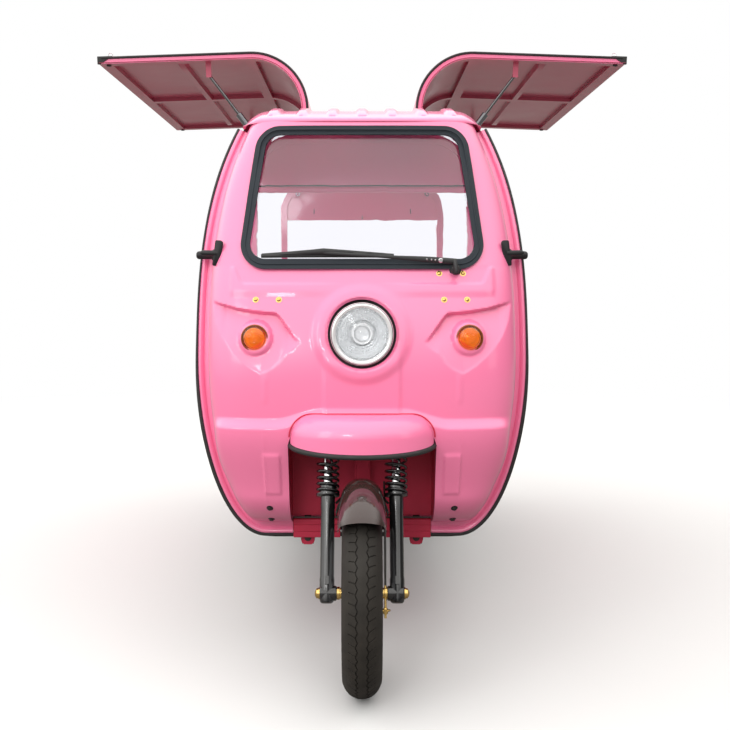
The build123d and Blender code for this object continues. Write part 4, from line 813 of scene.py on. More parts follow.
flange_section = [
    (0.0, -0.010), (0.0015, -0.002), (0.005, 0.0035), (0.009, 0.005), (0.013, 0.004), (0.0165, 0.0005),
    (0.019, -0.0025), (0.022, -0.0015), (0.027, 0.003), (0.031, 0.0048), (0.0345, 0.0052), (0.0372, 0.0068),
    (0.0390, 0.0100), (0.0402, 0.0150), (0.0412, 0.0220), (0.052, 0.020), (0.052, -0.014), (0.0, -0.014)]
foot = [(-FOOT_HALF + 2 * FOOT_HALF * step / 24, RIM_LOW) for step in range(25)]
turns = [math.pi / 2 * step / 40 for step in range(1, 41)]
right = foot[-1:] + [(FOOT_HALF + FLARE * math.sin(turn), WIDE_Z - DROP * math.cos(turn)) for turn in turns]
right += [(rim_half(z), z) for z in (WIDE_Z + RISE * step / 24 for step in range(1, 25))]
path = [(-x, z) for x, z in reversed(right)] + foot[1:-1] + right
ring = []
for i, (x, z) in enumerate(path):
    along = heading(path, i)
    into = Vector((0, 1)) if abs(x) < FOOT_HALF else Vector((-along.y, along.x))
    spot = []
    for inward, ahead in flange_section:
        px, pz = x + into.x * inward, z + into.y * inward
        spot.append((px, rim_y(pz) - ahead, min(pz, RIM_HIGH)))
    ring.append(spot)
shell = shape("pressed_shell", sweep(loops))
for curve in (sweep(inner), prism(screen_hole, -1.3, -0.2), prism(lamp_hole, -1.3, -0.9)):
    carved(shell, curve)
carved(shell, sweep(ring), way="UNION")
carved(shell, prism(mouth, -1.3, -0.6))
shell = settle("front_shell_panel", shell.data, pink_shell, "chassis", 32)
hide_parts("front_shell")
dress(pink_shell, "nose_hood")

edge_path, edge_size = [], []
for x, z in path:
    beside = 0.0016 * (1 if x > 0.25 else -1 if x < -0.25 else 0)
    edge_path.append((x + beside, rim_y(z) + 0.0035, z - (0.0016 if abs(x) < FOOT_HALF else 0.0)))
    edge_size.append(0.0062 - 0.0030 * ease(z, 0.62, 0.92) + 0.0012 * ease(z, 1.15, 1.35))
lip = []
for step in range(49):
    turn = math.pi * step / 48
    x, y = -0.186 * math.cos(turn), -1.022 - 0.1075 * math.sin(turn)
    lip.append((x, y, 0.604 + 0.1759 * (y - NOSE_Y) - 0.0015))
edging = build("rubber_edge_trim", *joined(tube(edge_path, edge_size, 12), tube(lip, 0.0066, 12)), grip_rubber,
               "chassis", 60)
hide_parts("rubber_edging")

# ---- nose hood, wheel well and sills ------------------------------------------------------------------------
# A domed hood, pressed from the same pink sheet, covers the fork where it enters the body. The wheel well behind it
# is the same pink sheet coloured deep red as painted shade, with a seam strip down its middle and a stepped sill each
# side along its foot.
# Painted shade: the well, its seam strip, sills and tabs are pink sheet, coloured deep red for the shade inside the
# well.
well_shade_paint = coat_of("pink_painted_well_shade", (0.50, 0.028, 0.065), (0.58, 0.036, 0.085), 4.0, (0.42, 0.55), (0.002, 0.0001),
                  Specular_IOR_Level=0.22)
dusty(well_shade_paint, (0.2, 0.1, 0.08), 0.28, 0.6, 0.06)
dress(well_shade_paint, "wheel_well")
HOOD_HALF, HOOD_TOP, HOOD_FALL = 0.186, 0.682, 0.058
joint = []
for step in range(-60, 61):
    x = HOOD_HALF * math.sin(math.pi / 2 * step / 60)
    near = HOOD_HALF - abs(x)
    z = HOOD_TOP - HOOD_FALL + math.sqrt(max(0.0, HOOD_FALL ** 2 - max(0.0, HOOD_FALL - near) ** 2))
    joint.append((x, face_y(x, z) - pressing(x, z) - 0.0012, z + 0.0004))
# The bead at the hood's joint takes the same painted shade colour.
build("hood_joint", *tube(joint, 0.0019, 8), well_shade_paint, "chassis")

WELL_Y = -0.8588
lining = [slab(x0, x1, y, WELL_Y, 0.335, 0.64) for x0, x1, y in (
    (-0.018, 0.020, -0.8612), (-0.0202, -0.0158, -0.8628), (0.0178, 0.0222, -0.8628))]
sill_line = [(-0.8480, 0.3725), (-0.8575, 0.3715), (-0.8595, 0.3695), (-0.8595, 0.3565), (-0.8565, 0.3545),
             (-0.8565, 0.3375), (-0.8535, 0.3355), (-0.8535, 0.3205), (-0.8520, 0.3185), (-0.8480, 0.3185)]
sill = sweep([[(x, y, z) for y, z in sill_line] for x in (0.060, 0.1885)])
tab_half = [(0.019, 0.334), (0.019, 0.308), (0.0165, 0.2995), (0.010, 0.2945)]
tab = prism([(0.150 - x, z) for x, z in tab_half] + [(0.150 + x, z) for x, z in tab_half[::-1]], -0.8330, -0.8300)
well_trim = build("well_seam_and_sills", *joined(*lining, pair(sill, tab)), well_shade_paint, "chassis", 30)
softened(well_trim, 0.0009, 1)
slots = pair(slab(0.060, 0.1880, -0.8612, -0.8585, 0.3752, 0.3786))
build("well_slots", *slots, liner_black, "chassis")
sill_bolt = bolt_head("sill_bolt_head", 0.0065, 0.0055)
tab_spots = [((x, -0.8330, 0.313), (0, -1, 0)) for x in (-0.150, 0.150)]
fasten("tab_bolts", sill_bolt, tab_spots, frame_black, "chassis")

# ---- windscreen, its seal and the wiper ------------------------------------------------------------------------
# Curved safety glass held in a slate-grey rubber seal with a filler strip pressed into its groove. A single wiper
# is pivoted under the screen's left-hand corner as the driver sits, its blade parked along the lower edge.
rubber = coat_of("slate_rubber", (0.0165, 0.0215, 0.028), (0.022, 0.028, 0.036), 12.0, (0.6, 0.75), (0.0008, 0.0001),
                 Specular_IOR_Level=0.25)
dress(rubber, "windscreen_seal")


def clear_of(name, tint, rough, through, bend=1.45):
    """Clear glass or plastic that lets lamp light through."""
    made = bpy.data.materials.new(name)
    made.use_nodes = True
    tree = made.node_tree
    glass = tree.nodes["Principled BSDF"]
    place = put(tree, "ShaderNodeTexCoord").outputs["Object"]
    film = put(tree, "ShaderNodeTexNoise", {"Vector": place, "Scale": 6.0, "Detail": 3.0}).outputs[0]
    smear = put(tree, "ShaderNodeMapRange", {0: film, 1: 0.4, 2: 0.75, 3: rough, 4: rough + 0.012}).outputs[0]
    tree.links.new(smear, glass.inputs["Roughness"])
    tone = blend_of(tree, film, (*tint, 1), (*(0.97 * t for t in tint), 1))
    tree.links.new(tone, glass.inputs["Base Color"])
    glass.inputs["Transmission Weight"].default_value = 1.0
    glass.inputs["IOR"].default_value = bend
    clear = put(tree, "ShaderNodeBsdfTransparent", {"Color": tone}).outputs[0]
    dark = put(tree, "ShaderNodeLightPath").outputs["Is Shadow Ray"]
    share = put(tree, "ShaderNodeMath", {0: dark, 1: through}, operation="MULTIPLY").outputs[0]
    mix = put(tree, "ShaderNodeMixShader", {0: share, 1: glass.outputs[0], 2: clear}).outputs[0]
    tree.links.new(mix, tree.nodes["Material Output"].inputs["Surface"])
    return made


window = clear_of("safety_glass", (0.90, 0.90, 0.96), 0.0, 0.9, 1.56)
dress(window, "windscreen")


def divided(line, gap):
    """A closed line with its long sides divided."""
    full = []
    for i, spot in enumerate(line):
        ahead = line[(i + 1) % len(line)]
        count = max(1, int(math.dist(spot, ahead) / gap))
        full += [tuple(a + (b - a) * k / count for a, b in zip(spot, ahead)) for k in range(count)]
    return full


def in_groove(x, z):
    """A point of the seal's groove."""
    return (x, face_y(x, z, 0.007) - 0.0006, z)


strip = rounded([(-0.3155, 1.0655), (0.3155, 1.0655), (0.2765, 1.4395), (-0.2765, 1.4395)], 0.0555, 16)
strip = [in_groove(x, z) for x, _, z in divided([in_groove(x, z) for x, z in strip], 0.02)]
build("seal_filler_strip", *tube(strip, 0.0022, 8, closed=True), rubber, "chassis")


def stand_off(x, z, off):
    """A point a little in front of the plain face."""
    return Vector((x, face_y(x, z) - off, z))


pivot = stand_off(0.243, 1.050, 0.0)
boss = [(-0.0205, 0), (-0.0205, 0.0095), (-0.0185, 0.0115), (-0.004, 0.0125), (-0.003, 0.0155), (0.004, 0.0155),
        (0.004, 0)]
elbow = [stand_off(*p) for p in ((0.2445, 1.0425, 0.0225), (0.244, 1.047, 0.0245), (0.2415, 1.066, 0.026),
                                 (0.240, 1.0755, 0.0245))]
wiper = [lathe(boss, "Y", pivot, 28), tube(elbow, [0.0065, 0.0088, 0.0088, 0.0065], 16, flat=0.7)]
arm_path, arm_size = [], []
for step in range(17):
    share = step / 16
    x, z = 0.246 - 0.346 * share, 1.0715 + 0.023 * share ** 0.9
    arm_path.append(stand_off(x, z, 0.0245 - 0.0035 * share))
    arm_size.append(0.0078 - 0.0036 * ease(share, 0.15, 0.55))
wiper.append(tube(arm_path, arm_size, 14, flat=0.6))
bow = [stand_off(*p) for p in (
    (-0.262, 1.0900, 0.0095), (-0.2, 1.0930, 0.0135), (-0.135, 1.0965, 0.0185), (-0.100, 1.0985, 0.0205),
    (-0.065, 1.0975, 0.0185), (0.0, 1.0945, 0.0135), (0.083, 1.0890, 0.0095))]
wiper.append(tube(bow, [0.0036, 0.0048, 0.0066, 0.0082, 0.0066, 0.0048, 0.0036], 12, flat=0.7))
steps = [k / 24 for k in range(25)]
blade_line = [stand_off(-0.264 + 0.347 * k, 1.0870 + 0.0010 * math.sin(math.pi * k), 0.0100) for k in steps]
wiper.append(tube(blade_line, 0.0052, 10, flat=0.7))
lip_line = [p + Vector((0, 0.0042, -0.0025)) for p in blade_line]
wiper.append(tube(lip_line, 0.0018, 6))
for x in (-0.175, 0.0):
    link = [stand_off(x + dx, z, off) for dx, z, off in (
        (-0.055, 1.0885, 0.0095), (-0.02, 1.0925, 0.0135), (0.02, 1.0925, 0.0135), (0.055, 1.0885, 0.0095))]
    wiper.append(tube(link, [0.0036, 0.0052, 0.0052, 0.0036], 8))
wiper_piece = build("wiper_arm_and_blade", *joined(*wiper), liner_black, "chassis", 40)
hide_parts("wiper")
nut = [(-0.0335, 0), (-0.0335, 0.0045), (-0.0315, 0.0062), (-0.024, 0.0062), (-0.024, 0)]
rivet = [(-0.0305, 0), (-0.0305, 0.0013), (-0.0295, 0.0021), (-0.024, 0.0021), (-0.024, 0)]
heads = [lathe(nut, "Y", stand_off(0.204, 1.0745, 0.0), 12)]
heads += [lathe(rivet, "Y", stand_off(x, 1.0755 + 0.001 * k, 0.0), 10) for k, x in enumerate((0.190, 0.180, 0.168))]
build("wiper_nut", *joined(*heads), bright, "chassis", 25)

# ---- headlight and direction indicators -----------------------------------------------------------------------
# A round headlight with a bright metal bezel, whitened as a painted reflection of chrome, a fluted clear lens and a
# small projector, standing in its pressed boss.
# The two indicators are round amber domes with moulded rings in black rims.
lens_clear = clear_of("lamp_glass", (0.97, 0.98, 0.985), 0.015, 0.9)
# The reflector and the bezel are bright metal with a white diffuse share added as painted reflection, so they read as
# lit chrome.
reflector = coat_of("lamp_reflector", (0.84, 0.85, 0.86), (0.94, 0.95, 0.96), 38.0, (0.12, 0.34), (0.009, 0.0011),
                    Metallic=0.72)
bezel_metal_and_painted_reflection = coat_of("bright_bezel", (0.84, 0.83, 0.84), (0.90, 0.89, 0.90), 16.0, (0.16, 0.28), None,
                      Metallic=0.45, Coat_Weight=0.7)
LAMP_FACE = (0, nose_y(LAMP_Z) - 0.028, LAMP_Z)
LENS_R, LENS_BULGE, FLUTE = 0.0725, 0.0105, 0.0075
dress(liner_black, "headlight_bezel")
section = [
    (0.0260, 0.0795), (0.0095, 0.0806), (0.0045, 0.0804), (0.0012, 0.0788), (-0.0010, 0.0762), (-0.0016, 0.0738),
    (-0.0012, 0.0712), (0.0002, 0.0694), (0.0022, 0.0684), (0.0040, 0.0674), (0.0062, 0.0668), (0.0070, 0.0680),
    (0.0070, 0.0760), (0.0260, 0.0765)]
bezel_ring = build("headlight_chrome_ring", *lathe(section, "Y", LAMP_FACE, 96, True), bezel_metal_and_painted_reflection, "chassis", 40)
section = [(0.0095, 0.0683), (0.022, 0.0660), (0.040, 0.0550), (0.055, 0.0360), (0.060, 0.0240), (0.061, 0),
           (0.064, 0), (0.062, 0.030), (0.044, 0.058), (0.024, 0.0695), (0.0095, 0.0705)]
bowl_piece = build("headlight_reflector", *lathe(section, "Y", LAMP_FACE, 64, True), reflector, "chassis", 40)
section = [(0.055, 0), (0.055, 0.027), (0.034, 0.027), (0.031, 0.0245), (0.031, 0.0215), (0.036, 0.0205), (0.036, 0)]
shroud = lathe(section, "Y", LAMP_FACE, 48)
build("projector_shroud", *shroud, bezel_metal_and_painted_reflection, "chassis", 35)
section = [(0.0365, 0), (0.0365, 0.0200), (0.0345, 0.0200), (0.0305, 0.0175), (0.0265, 0.0115), (0.0250, 0.0050),
           (0.0247, 0)]
eye = lathe(section, "Y", LAMP_FACE, 40)
build("projector_lens", *eye, lens_clear, "chassis", 60)
rows = [(LENS_R * k / 42, LENS_BULGE * (k / 42) ** 2) for k in range(43)]
profile = []
for radius, along in rows:
    flute = 0.00055 * math.cos(2 * math.pi * radius / FLUTE) if radius > 0.026 else 0.0
    profile.append((along - 0.0035 + flute, min(radius, 0.0715)))
profile += [(0.0088, 0.0715), (0.0088, 0.0700)]
profile += [(min(0.0088, along + 0.0015), radius) for radius, along in rows[::-1] if radius < 0.069]
lens = build("headlight_lens_glass", *lathe(profile, "Y", LAMP_FACE, 72), lens_clear, "chassis", 60)
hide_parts("headlight_lens")

amber = clear_of("amber_lens", (0.96, 0.60, 0.12), 0.04, 0.7)
amber_solid = coat_of("amber_core", (0.86, 0.36, 0.022), (0.95, 0.43, 0.034), 20.0, (0.2, 0.3), None, Coat_Weight=0.6)
centre = (SIGNAL_X, face_y(SIGNAL_X, SIGNAL_Z), SIGNAL_Z)
DOME_R, RIPPLE = 0.0308, 0.0044
dome = [(-0.0240, 0)]
for k in range(1, 31):
    radius = DOME_R * k / 30
    ripple = 0.00045 * math.cos(2 * math.pi * radius / RIPPLE)
    dome.append((-0.0240 + 0.0165 * (radius / DOME_R) ** 3.2 + ripple, radius))
dome += [(0.002, 0.0304), (0.002, 0.0285), (-0.005, 0.0280), (-0.015, 0.021), (-0.0205, 0.010), (-0.0212, 0)]
core = [(0.010, 0), (0.010, 0.0290), (-0.001, 0.0275), (-0.005, 0.0265), (-0.006, 0.014), (-0.0150, 0.0120),
        (-0.0175, 0.008), (-0.0178, 0)]
rim = [(0.034, 0.0300), (0.034, 0.0345), (-0.0035, 0.0350), (-0.0050, 0.0340), (-0.0055, 0.0325), (-0.0040, 0.0314),
       (0.0, 0.0305)]
indicators = build("indicator_domes", *pair(lathe(dome, "Y", centre, 48)), amber, "chassis", 50)
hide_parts("turn_signals")
cores = pair(lathe(core, "Y", centre, 32))
build("indicator_cores", *cores, amber_solid, "chassis", 40)
amber_dark = coat_of("amber_rim", (0.20, 0.060, 0.006), (0.27, 0.085, 0.008), 20.0, (0.25, 0.35), None)
rims = pair(lathe(rim, "Y", centre, 56, True))
build("indicator_rims", *rims, amber_dark, "chassis", 40)

# ---- mirror brackets, screws and bolts in the face ------------------------------------------------------------
# Each mirror bracket is a slanted black plate on the rim with a short round arm. Brass dome screws hold the dash
# behind the face; two pairs of black bolts under the belly hold the shell's foot to the floor.
MIRROR_Y, MIRROR_Z = -0.795598, 1.093
edge_y = rim_y(MIRROR_Z)
plate = []
for y, trim in ((-0.1245, 0.0022), (-0.1228, 0.0), (-0.1155, 0.0), (-0.1140, 0.0015)):
    line = rounded([(0.3800 + trim, 1.0625 + trim), (0.3995 - trim, 1.0625 + trim), (0.3905 - trim, 1.1300 - trim),
                    (0.3690 + trim, 1.1300 - trim)], [0.004, 0.004, 0.004, 0.008], 4)
    plate.append([(x, edge_y + y, z) for x, z in line])
web = ((-0.1150, 1.1120), (-0.0040, 1.1150), (-0.0040, 1.0760), (-0.1150, 1.0800))
web = sweep([[(x, edge_y + y, z) for y, z in web] for x in (0.3790, 0.3910)])
arm = [(0.386, 0), (0.386, 0.0112), (0.4475, 0.0112), (0.4525, 0.0098), (0.4553, 0.0062), (0.4560, 0)]
foot = [(0.390, 0), (0.390, 0.0165), (0.4085, 0.0165), (0.4125, 0.0135), (0.4125, 0)]
front_arm = [(0.386, edge_y - 0.1190, 1.0955), (0.408, edge_y - 0.1190, 1.0960), (0.426, edge_y - 0.1140, 1.0965),
             (0.4300, edge_y - 0.1125, 1.0965)]
arm, foot = (lathe(section, "X", (0, MIRROR_Y, MIRROR_Z), 28) for section in (arm, foot))
brackets = pair(sweep(plate), web, arm, foot, tube(front_arm, [0.0078, 0.0078, 0.0078, 0.0055], 14))
mirror_piece = build("mirror_brackets", *brackets, frame_black, "chassis", 35)
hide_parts("mirror_mounts")


def on_face(x, z):
    """A place on the pressed face and the way it faces."""
    step = 0.002
    across = Vector((2 * step, face_y(x + step, z) - face_y(x - step, z), 0))
    up = Vector((0, face_y(x, z + step) - face_y(x, z - step), 2 * step))
    facing = across.cross(up).normalized()
    if facing.y > 0:
        facing = -facing
    return (x, face_y(x, z) - pressing(x, z), z), tuple(facing)


dome_screw = screw_head("dome_screw_head", 0.0055, 0.0042, 1.5)
screw_places = [on_face(x, 0.973) for x in (-0.275, -0.215, 0.212, 0.272)]
screw_places += [on_face(x, 1.041) for x in (0.201, 0.263)]
fasten("dash_screws", dome_screw, screw_places, brass, "chassis")
foot_bolt = bolt_head("foot_bolt_head", 0.0062, 0.005)
bolt_places = [on_face(side * 0.243, z) for side in (-1, 1) for z in (0.425, 0.385)]
fasten("shell_foot_bolts", foot_bolt, bolt_places, frame_black, "chassis")

# ---- cab roof -------------------------------------------------------------------------------------------------
# The roof pressing's front part follows the shell's rim in plan and rolls down to it; from ROOF_JOIN back it is the
# CAD's own. It carries seven shallow ribs that fade out at both ends, and a black rubber gutter against the box.
def skin_of(piece):
    """A piece's surface, for finding where a ray meets it."""
    return BVHTree.FromObject(piece, bpy.context.evaluated_depsgraph_get())


roof_skin = skin_of(nodes["cab_roof"])


def roof_at(x, y):
    """The height of the cab roof's skin at a place."""
    hit = roof_skin.ray_cast(Vector((x, y, 2.5)), Vector((0, 0, -1)))[0]
    return hit.z if hit else None


ROOF_JOIN, FRONT_REACH, FRONT_HALF, PLAN = -0.5590, 0.1841, 0.346, 3.6
cowl = []
for k in range(-48, 49):
    x = FRONT_HALF * 0.9996 * math.sin(math.pi / 2 * k / 48)
    side = (abs(x) / FRONT_HALF) ** PLAN
    lead = ROOF_JOIN - FRONT_REACH * (1 - side) ** (1 / PLAN)
    line = []
    for j in range(33):
        y = lead + (ROOF_JOIN + 0.0015 - lead) * (j / 32) ** 1.9
        level = side + (max(0.0, ROOF_JOIN - y) / FRONT_REACH) ** PLAN
        roll = (1 - min(1.0, level) ** 3) ** 0.4545
        roll = 1 - (1 - roll) * ease(ROOF_JOIN - y, 0.0, 0.05)
        line.append((x, y, RIM_HIGH + 0.0003 + max(0.0004, (roof_at(x, y) or 0.0) - RIM_HIGH) * roll))
    cowl.append(line + [(px, py, max(RIM_HIGH - 0.001, pz - 0.005)) for px, py, pz in line[::-1]])
rest = bmesh.new()
rest.from_mesh(nodes["cab_roof"].data)
rest.transform(nodes["cab_roof"].matrix_world)
bmesh.ops.bisect_plane(rest, geom=[*rest.verts, *rest.edges, *rest.faces], plane_co=(0, ROOF_JOIN, 0),
                       plane_no=(0, 1, 0), clear_inner=True)
bmesh.ops.holes_fill(rest, edges=[edge for edge in rest.edges if edge.is_boundary])
rest.verts.index_update()
kept = ([tuple(vert.co) for vert in rest.verts], [[vert.index for vert in face.verts] for face in rest.faces])
rest.free()
roof_pressing = build("cab_roof_pressing", *joined(kept, sweep(cowl)), pink_shell, "chassis", 32)
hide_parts("cab_roof")
roof_skin = skin_of(roof_pressing)

RIB_END, RIB_HALF = -0.150, 0.021
ribs = []
for k in range(-3, 4):
    x = k * 0.084
    start = ROOF_JOIN + 0.016 - FRONT_REACH * (1 - ((abs(x) + RIB_HALF) / FRONT_HALF) ** PLAN) ** (1 / PLAN)
    loops = []
    for step in range(37):
        share = step / 36
        y = start + (RIB_END - start) * share
        rise = 0.0085 * ease(share, 0.0, 0.07) * ease(share, 1.0, 0.93) + 0.0001
        line = []
        for j in range(13):
            across = -1 + j / 6
            rib_x = x + RIB_HALF * across
            line.append((rib_x, y, roof_at(rib_x, y) - 0.0004 + rise * ease(1 - abs(across), 0.0, 0.6)))
        low = roof_at(x, y) - 0.006
        loops.append(line + [(x + 0.020, y, low), (x - 0.020, y, low)])
    ribs.append(sweep(loops))
build("roof_ribs", *joined(*ribs), pink_shell, "chassis", 60)
gutter = [(x, -0.1352, roof_at(x, -0.138) + 0.0012) for x in (-0.372 + 0.744 * k / 60 for k in range(61))]
build("roof_gutter_seal", *tube(gutter, 0.0032, 8), grip_rubber, "chassis")

# ---- vending box: arches, sides, floor edge, door and tail ------------------------------------------------------
# Folded tube arches and pressed side sheets in pink. Each side has a rolled lip round the wheel opening, two long
# swages and a short one; the tail door has a raised border and a paddle latch, the skirt its lamps and its plate.
dress(pink_paint, "front_arch", "rear_arch", "header_panels", "side_panel_left", "side_panel_right", "rear_skirt",
      "rear_door", "roof_strip", "seat_base")
OPENING_R, SIDE_X = 0.2935, 0.4148
arc = []
for k in range(61):
    turn = math.radians(-26.5 + 233.0 * k / 60)
    y, z = AXLE_Y + OPENING_R * math.cos(turn), WHEEL_Z + OPENING_R * math.sin(turn)
    if z > 0.3815:
        arc.append((SIDE_X + 0.0004, y, z))
swages = []
for start, end, z in ((-0.105, 1.345, 0.792), (-0.105, 1.345, 0.600), (-0.105, 0.52, 0.44)):
    loops = []
    for step in range(33):
        share = step / 32
        y = start + (end - start) * share
        fade = ease(share, 0.0, 0.03) * ease(share, 1.0, 0.97)
        line = []
        for j in range(9):
            across = -1 + j / 4
            proud = 0.0042 * fade * (0.5 + 0.5 * math.cos(math.pi * across))
            line.append((SIDE_X + proud, y, z + 0.010 * across))
        loops.append(line + [(0.410, y, z + 0.0095), (0.410, y, z - 0.0095)])
    swages.append(sweep(loops))
panel_lips = build("wheel_opening_lips", *pair(tube(arc, 0.0048, 10, flat=0.9)), pink_paint, "chassis")
side_swages = build("side_swages", *pair(*swages), pink_paint, "chassis", 50)


def framed(x0, z0, x1, z1, y0, y1, width, corner):
    """A raised border with round corners on a face that looks back."""
    lines = []
    for inset, y in ((0.0, y0), (0.35 * width, y1), (0.65 * width, y1), (width, y0)):
        line = rounded(oblong(x0 + inset, z0 + inset, x1 - inset, z1 - inset), corner - 0.6 * inset, 8)
        lines.append([(x, y, z) for x, z in line])
    return sweep(list(zip(*lines)), closed=True)


def plinth(box, radius, steps, *layers):
    """A plate of outlines, each given by where it lies and by how much less its corners are rounded."""
    return sweep([[(x, y, z) for x, z in rounded(oblong(*box), radius - less, steps)] for y, less in layers])


DOOR_Y = 1.3695
border = framed(-0.290, 0.600, 0.330, 0.815, DOOR_Y, DOOR_Y + 0.005, 0.024, 0.030)
door_border = build("door_border", *border, pink_paint, "rear_door", 40)
latch = [plinth((0.236, 0.668, 0.318, 0.748), 0.012, 6, (DOOR_Y, 0.0), (1.3735, 0.0), (1.3755, 0.003))]
handle = [(x, y, 0.708) for x, y in ((0.250, 1.3760), (0.253, 1.3885), (0.262, 1.3925), (0.296, 1.3925),
                                     (0.304, 1.3885), (0.306, 1.3760))]
latch.append(tube(handle, 0.0058, 12, flat=0.9))
barrel = [(1.374, 0), (1.374, 0.0105), (1.3785, 0.0105), (1.3800, 0.0090), (1.3800, 0)]
latch.append(lathe(barrel, "Y", (0.277, 0, 0.684), 24))
latch_piece = build("door_latch", *joined(*latch), chrome, "rear_door", 35)
door_seal = [(x, 1.3432, z) for x, z in rounded(oblong(-0.346, 0.578, 0.346, 0.838), 0.012, 6)]
door_seal = tube(door_seal, 0.0016, 8, closed=True)
build("door_seal", *door_seal, grip_rubber, "rear_door")
small_screw = screw_head("small_screw_head", 0.0036, 0.0028, 1.3)
places = [((-0.3308, 1.3727, z + dz), (0, 1, 0)) for z in (0.6255, 0.7895) for dz in (-0.0245, 0.0245)]
fasten("door_hinge_screws", small_screw, places, bright, "rear_door")

red = clear_of("red_lens", (0.85, 0.02, 0.02), 0.05, 0.6)
LENS_FOOT = 1.3760
loops = []
for k in range(25):
    ridge = 0.0009 * math.cos(2 * math.pi * k / 3)
    proud = 1.3905 + ridge - 0.004 * max(0.0, abs(k - 12) / 12) ** 6
    half = [(0.0310, LENS_FOOT), (0.0310, proud - 0.002), (0.0285, proud)]
    section = [(0.320 - x, y) for x, y in half] + [(0.320 + x, y) for x, y in half[::-1]]
    loops.append([(x, y, 0.4440 + 0.072 * k / 24) for x, y in section])
lamp_base = plinth((0.2855, 0.4405, 0.3545, 0.5195), 0.007, 5, (1.3700, 0.0), (1.3770, 0.0), (1.3785, 0.002))
tail = build("tail_lamp_lenses", *pair(sweep(loops)), red, "chassis", 50)
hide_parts("tail_lights")
build("tail_lamp_bases", *pair(lamp_base), liner_black, "chassis")
plate_white = coat_of("plate_white", (0.78, 0.78, 0.76), (0.84, 0.84, 0.82), 12.0, (0.35, 0.5), (0.0008, 0.00004))
dress(plate_white, "number_plate")
border = framed(-0.1145, 0.4205, 0.1145, 0.5095, 1.3702, 1.3752, 0.008, 0.008)
build("plate_frame", *border, liner_black, "chassis")
plate_screws = [((x, 1.3731, z), (0, 1, 0)) for x in (-0.075, 0.075) for z in (0.434, 0.496)]
fasten("plate_screws", small_screw, plate_screws, bright, "chassis")
skirt_bolts = [((x, 1.3701, z), (0, 1, 0)) for x in (-0.255, -0.165, 0.165, 0.255) for z in (0.400, 0.545)]
fasten("skirt_bolts", foot_bolt, skirt_bolts, bright, "chassis")
strip = slab(-0.352, 0.352, -0.1235, -0.1208, 1.3425, 1.3470)
build("header_strip", *strip, rubber, "chassis")
for hand, x in (("left", -0.232), ("right", 0.232)):
    mark = slab(x - 0.0022, x + 0.0022, 1.3480, 1.3500, 1.351, 1.374)
    build(f"header_slot_{hand}", *mark, liner_black, "chassis")
header_lips = [tube([(-0.352, y, 1.3315), (0.352, y, 1.3315)], 0.0092, 14, flat=0.45) for y in (-0.1215, 1.3615)]
header_lips += [slab(-0.004, 0.004, y, y + 0.0015, 1.335, 1.505) for y in (1.3485, 1.3600)]
build("header_lips", *joined(*header_lips), pink_paint, "chassis")
hook = tube([(0.0, 1.3475, 1.342), (0.0, 1.3375, 1.340), (0.0, 1.3335, 1.333), (0.0, 1.3375, 1.325)], 0.0026, 8)
build("header_hook", *hook, bright, "chassis")

# ---- side hatches ------------------------------------------------------------------------------------------------
# Each hatch is a pressed pink skin with folded ends and one long rib; its inner faces are coloured a duller pink as
# painted shade. A rubber bead runs round its edges, and rubber stops and a hasp stand on the edge that meets the
# counter when shut.
# Painted shade: the hatches' inner faces, fold linings and ribs are the same pink skin, coloured duller for the shade
# beneath them.
hatch_inner_shade_paint = coat_of("pink_painted_hatch_shade", (0.42, 0.088, 0.140), (0.50, 0.115, 0.17), 3.0, (0.28, 0.4), (0.0025, 0.0001),
               Coat_Weight=0.12, Coat_Roughness=0.1, Specular_IOR_Level=0.22)
HINGE_X, HINGE_Z, OPEN = 0.170, 1.552, math.radians(88)
HALF, ROOF_Z, SHOULDER, FOOT_Z = 0.415, 1.545, 0.190, 0.850
HATCH_Y0, HATCH_Y1, BEAD_DEPTH, FOLD_DEPTH = -0.125, 1.370, 0.0045, 0.0205


def swung(x, z, turn):
    """A point of a hatch's section turned about its hinge."""
    dx, dz = x - HINGE_X, z - HINGE_Z
    c, s = math.cos(turn), math.sin(turn)
    return HINGE_X + dx * c - dz * s, HINGE_Z + dx * s + dz * c


def lifted(x, y, z):
    """A point of the shut right hatch, moved to where the hatch stands open."""
    x, z = swung(x, z, OPEN)
    return (x, y, z)


def opened(part):
    """A part drawn on the shut right hatch, moved to where the hatch stands open."""
    return [lifted(*p) for p in part[0]], part[1]


def on_side(side, *parts):
    """Parts of the right-hand side as one, carried to a side of the vehicle."""
    return joined(*parts) if side > 0 else flipped(joined(*parts))


def hatch_line(depth):
    """The shut hatch's section at a depth under its skin, from the hinge edge over the shoulder to the foot."""
    line = [(HINGE_X + 0.023, ROOF_Z - depth)]
    for k in range(19):
        turn = math.pi / 2 * k / 18
        reach = SHOULDER - depth
        line.append((HALF - SHOULDER + reach * math.sin(turn), ROOF_Z - SHOULDER + reach * math.cos(turn)))
    line.append((HALF - depth, FOOT_Z))
    return line


def outer_depth(x, z):
    """How deep a point of the shut hatch lies under its outer skin."""
    cx, cz = HALF - SHOULDER, ROOF_Z - SHOULDER
    if x > cx and z > cz:
        return SHOULDER - math.hypot(x - cx, z - cz)
    return HALF - x if z <= cz else ROOF_Z - z


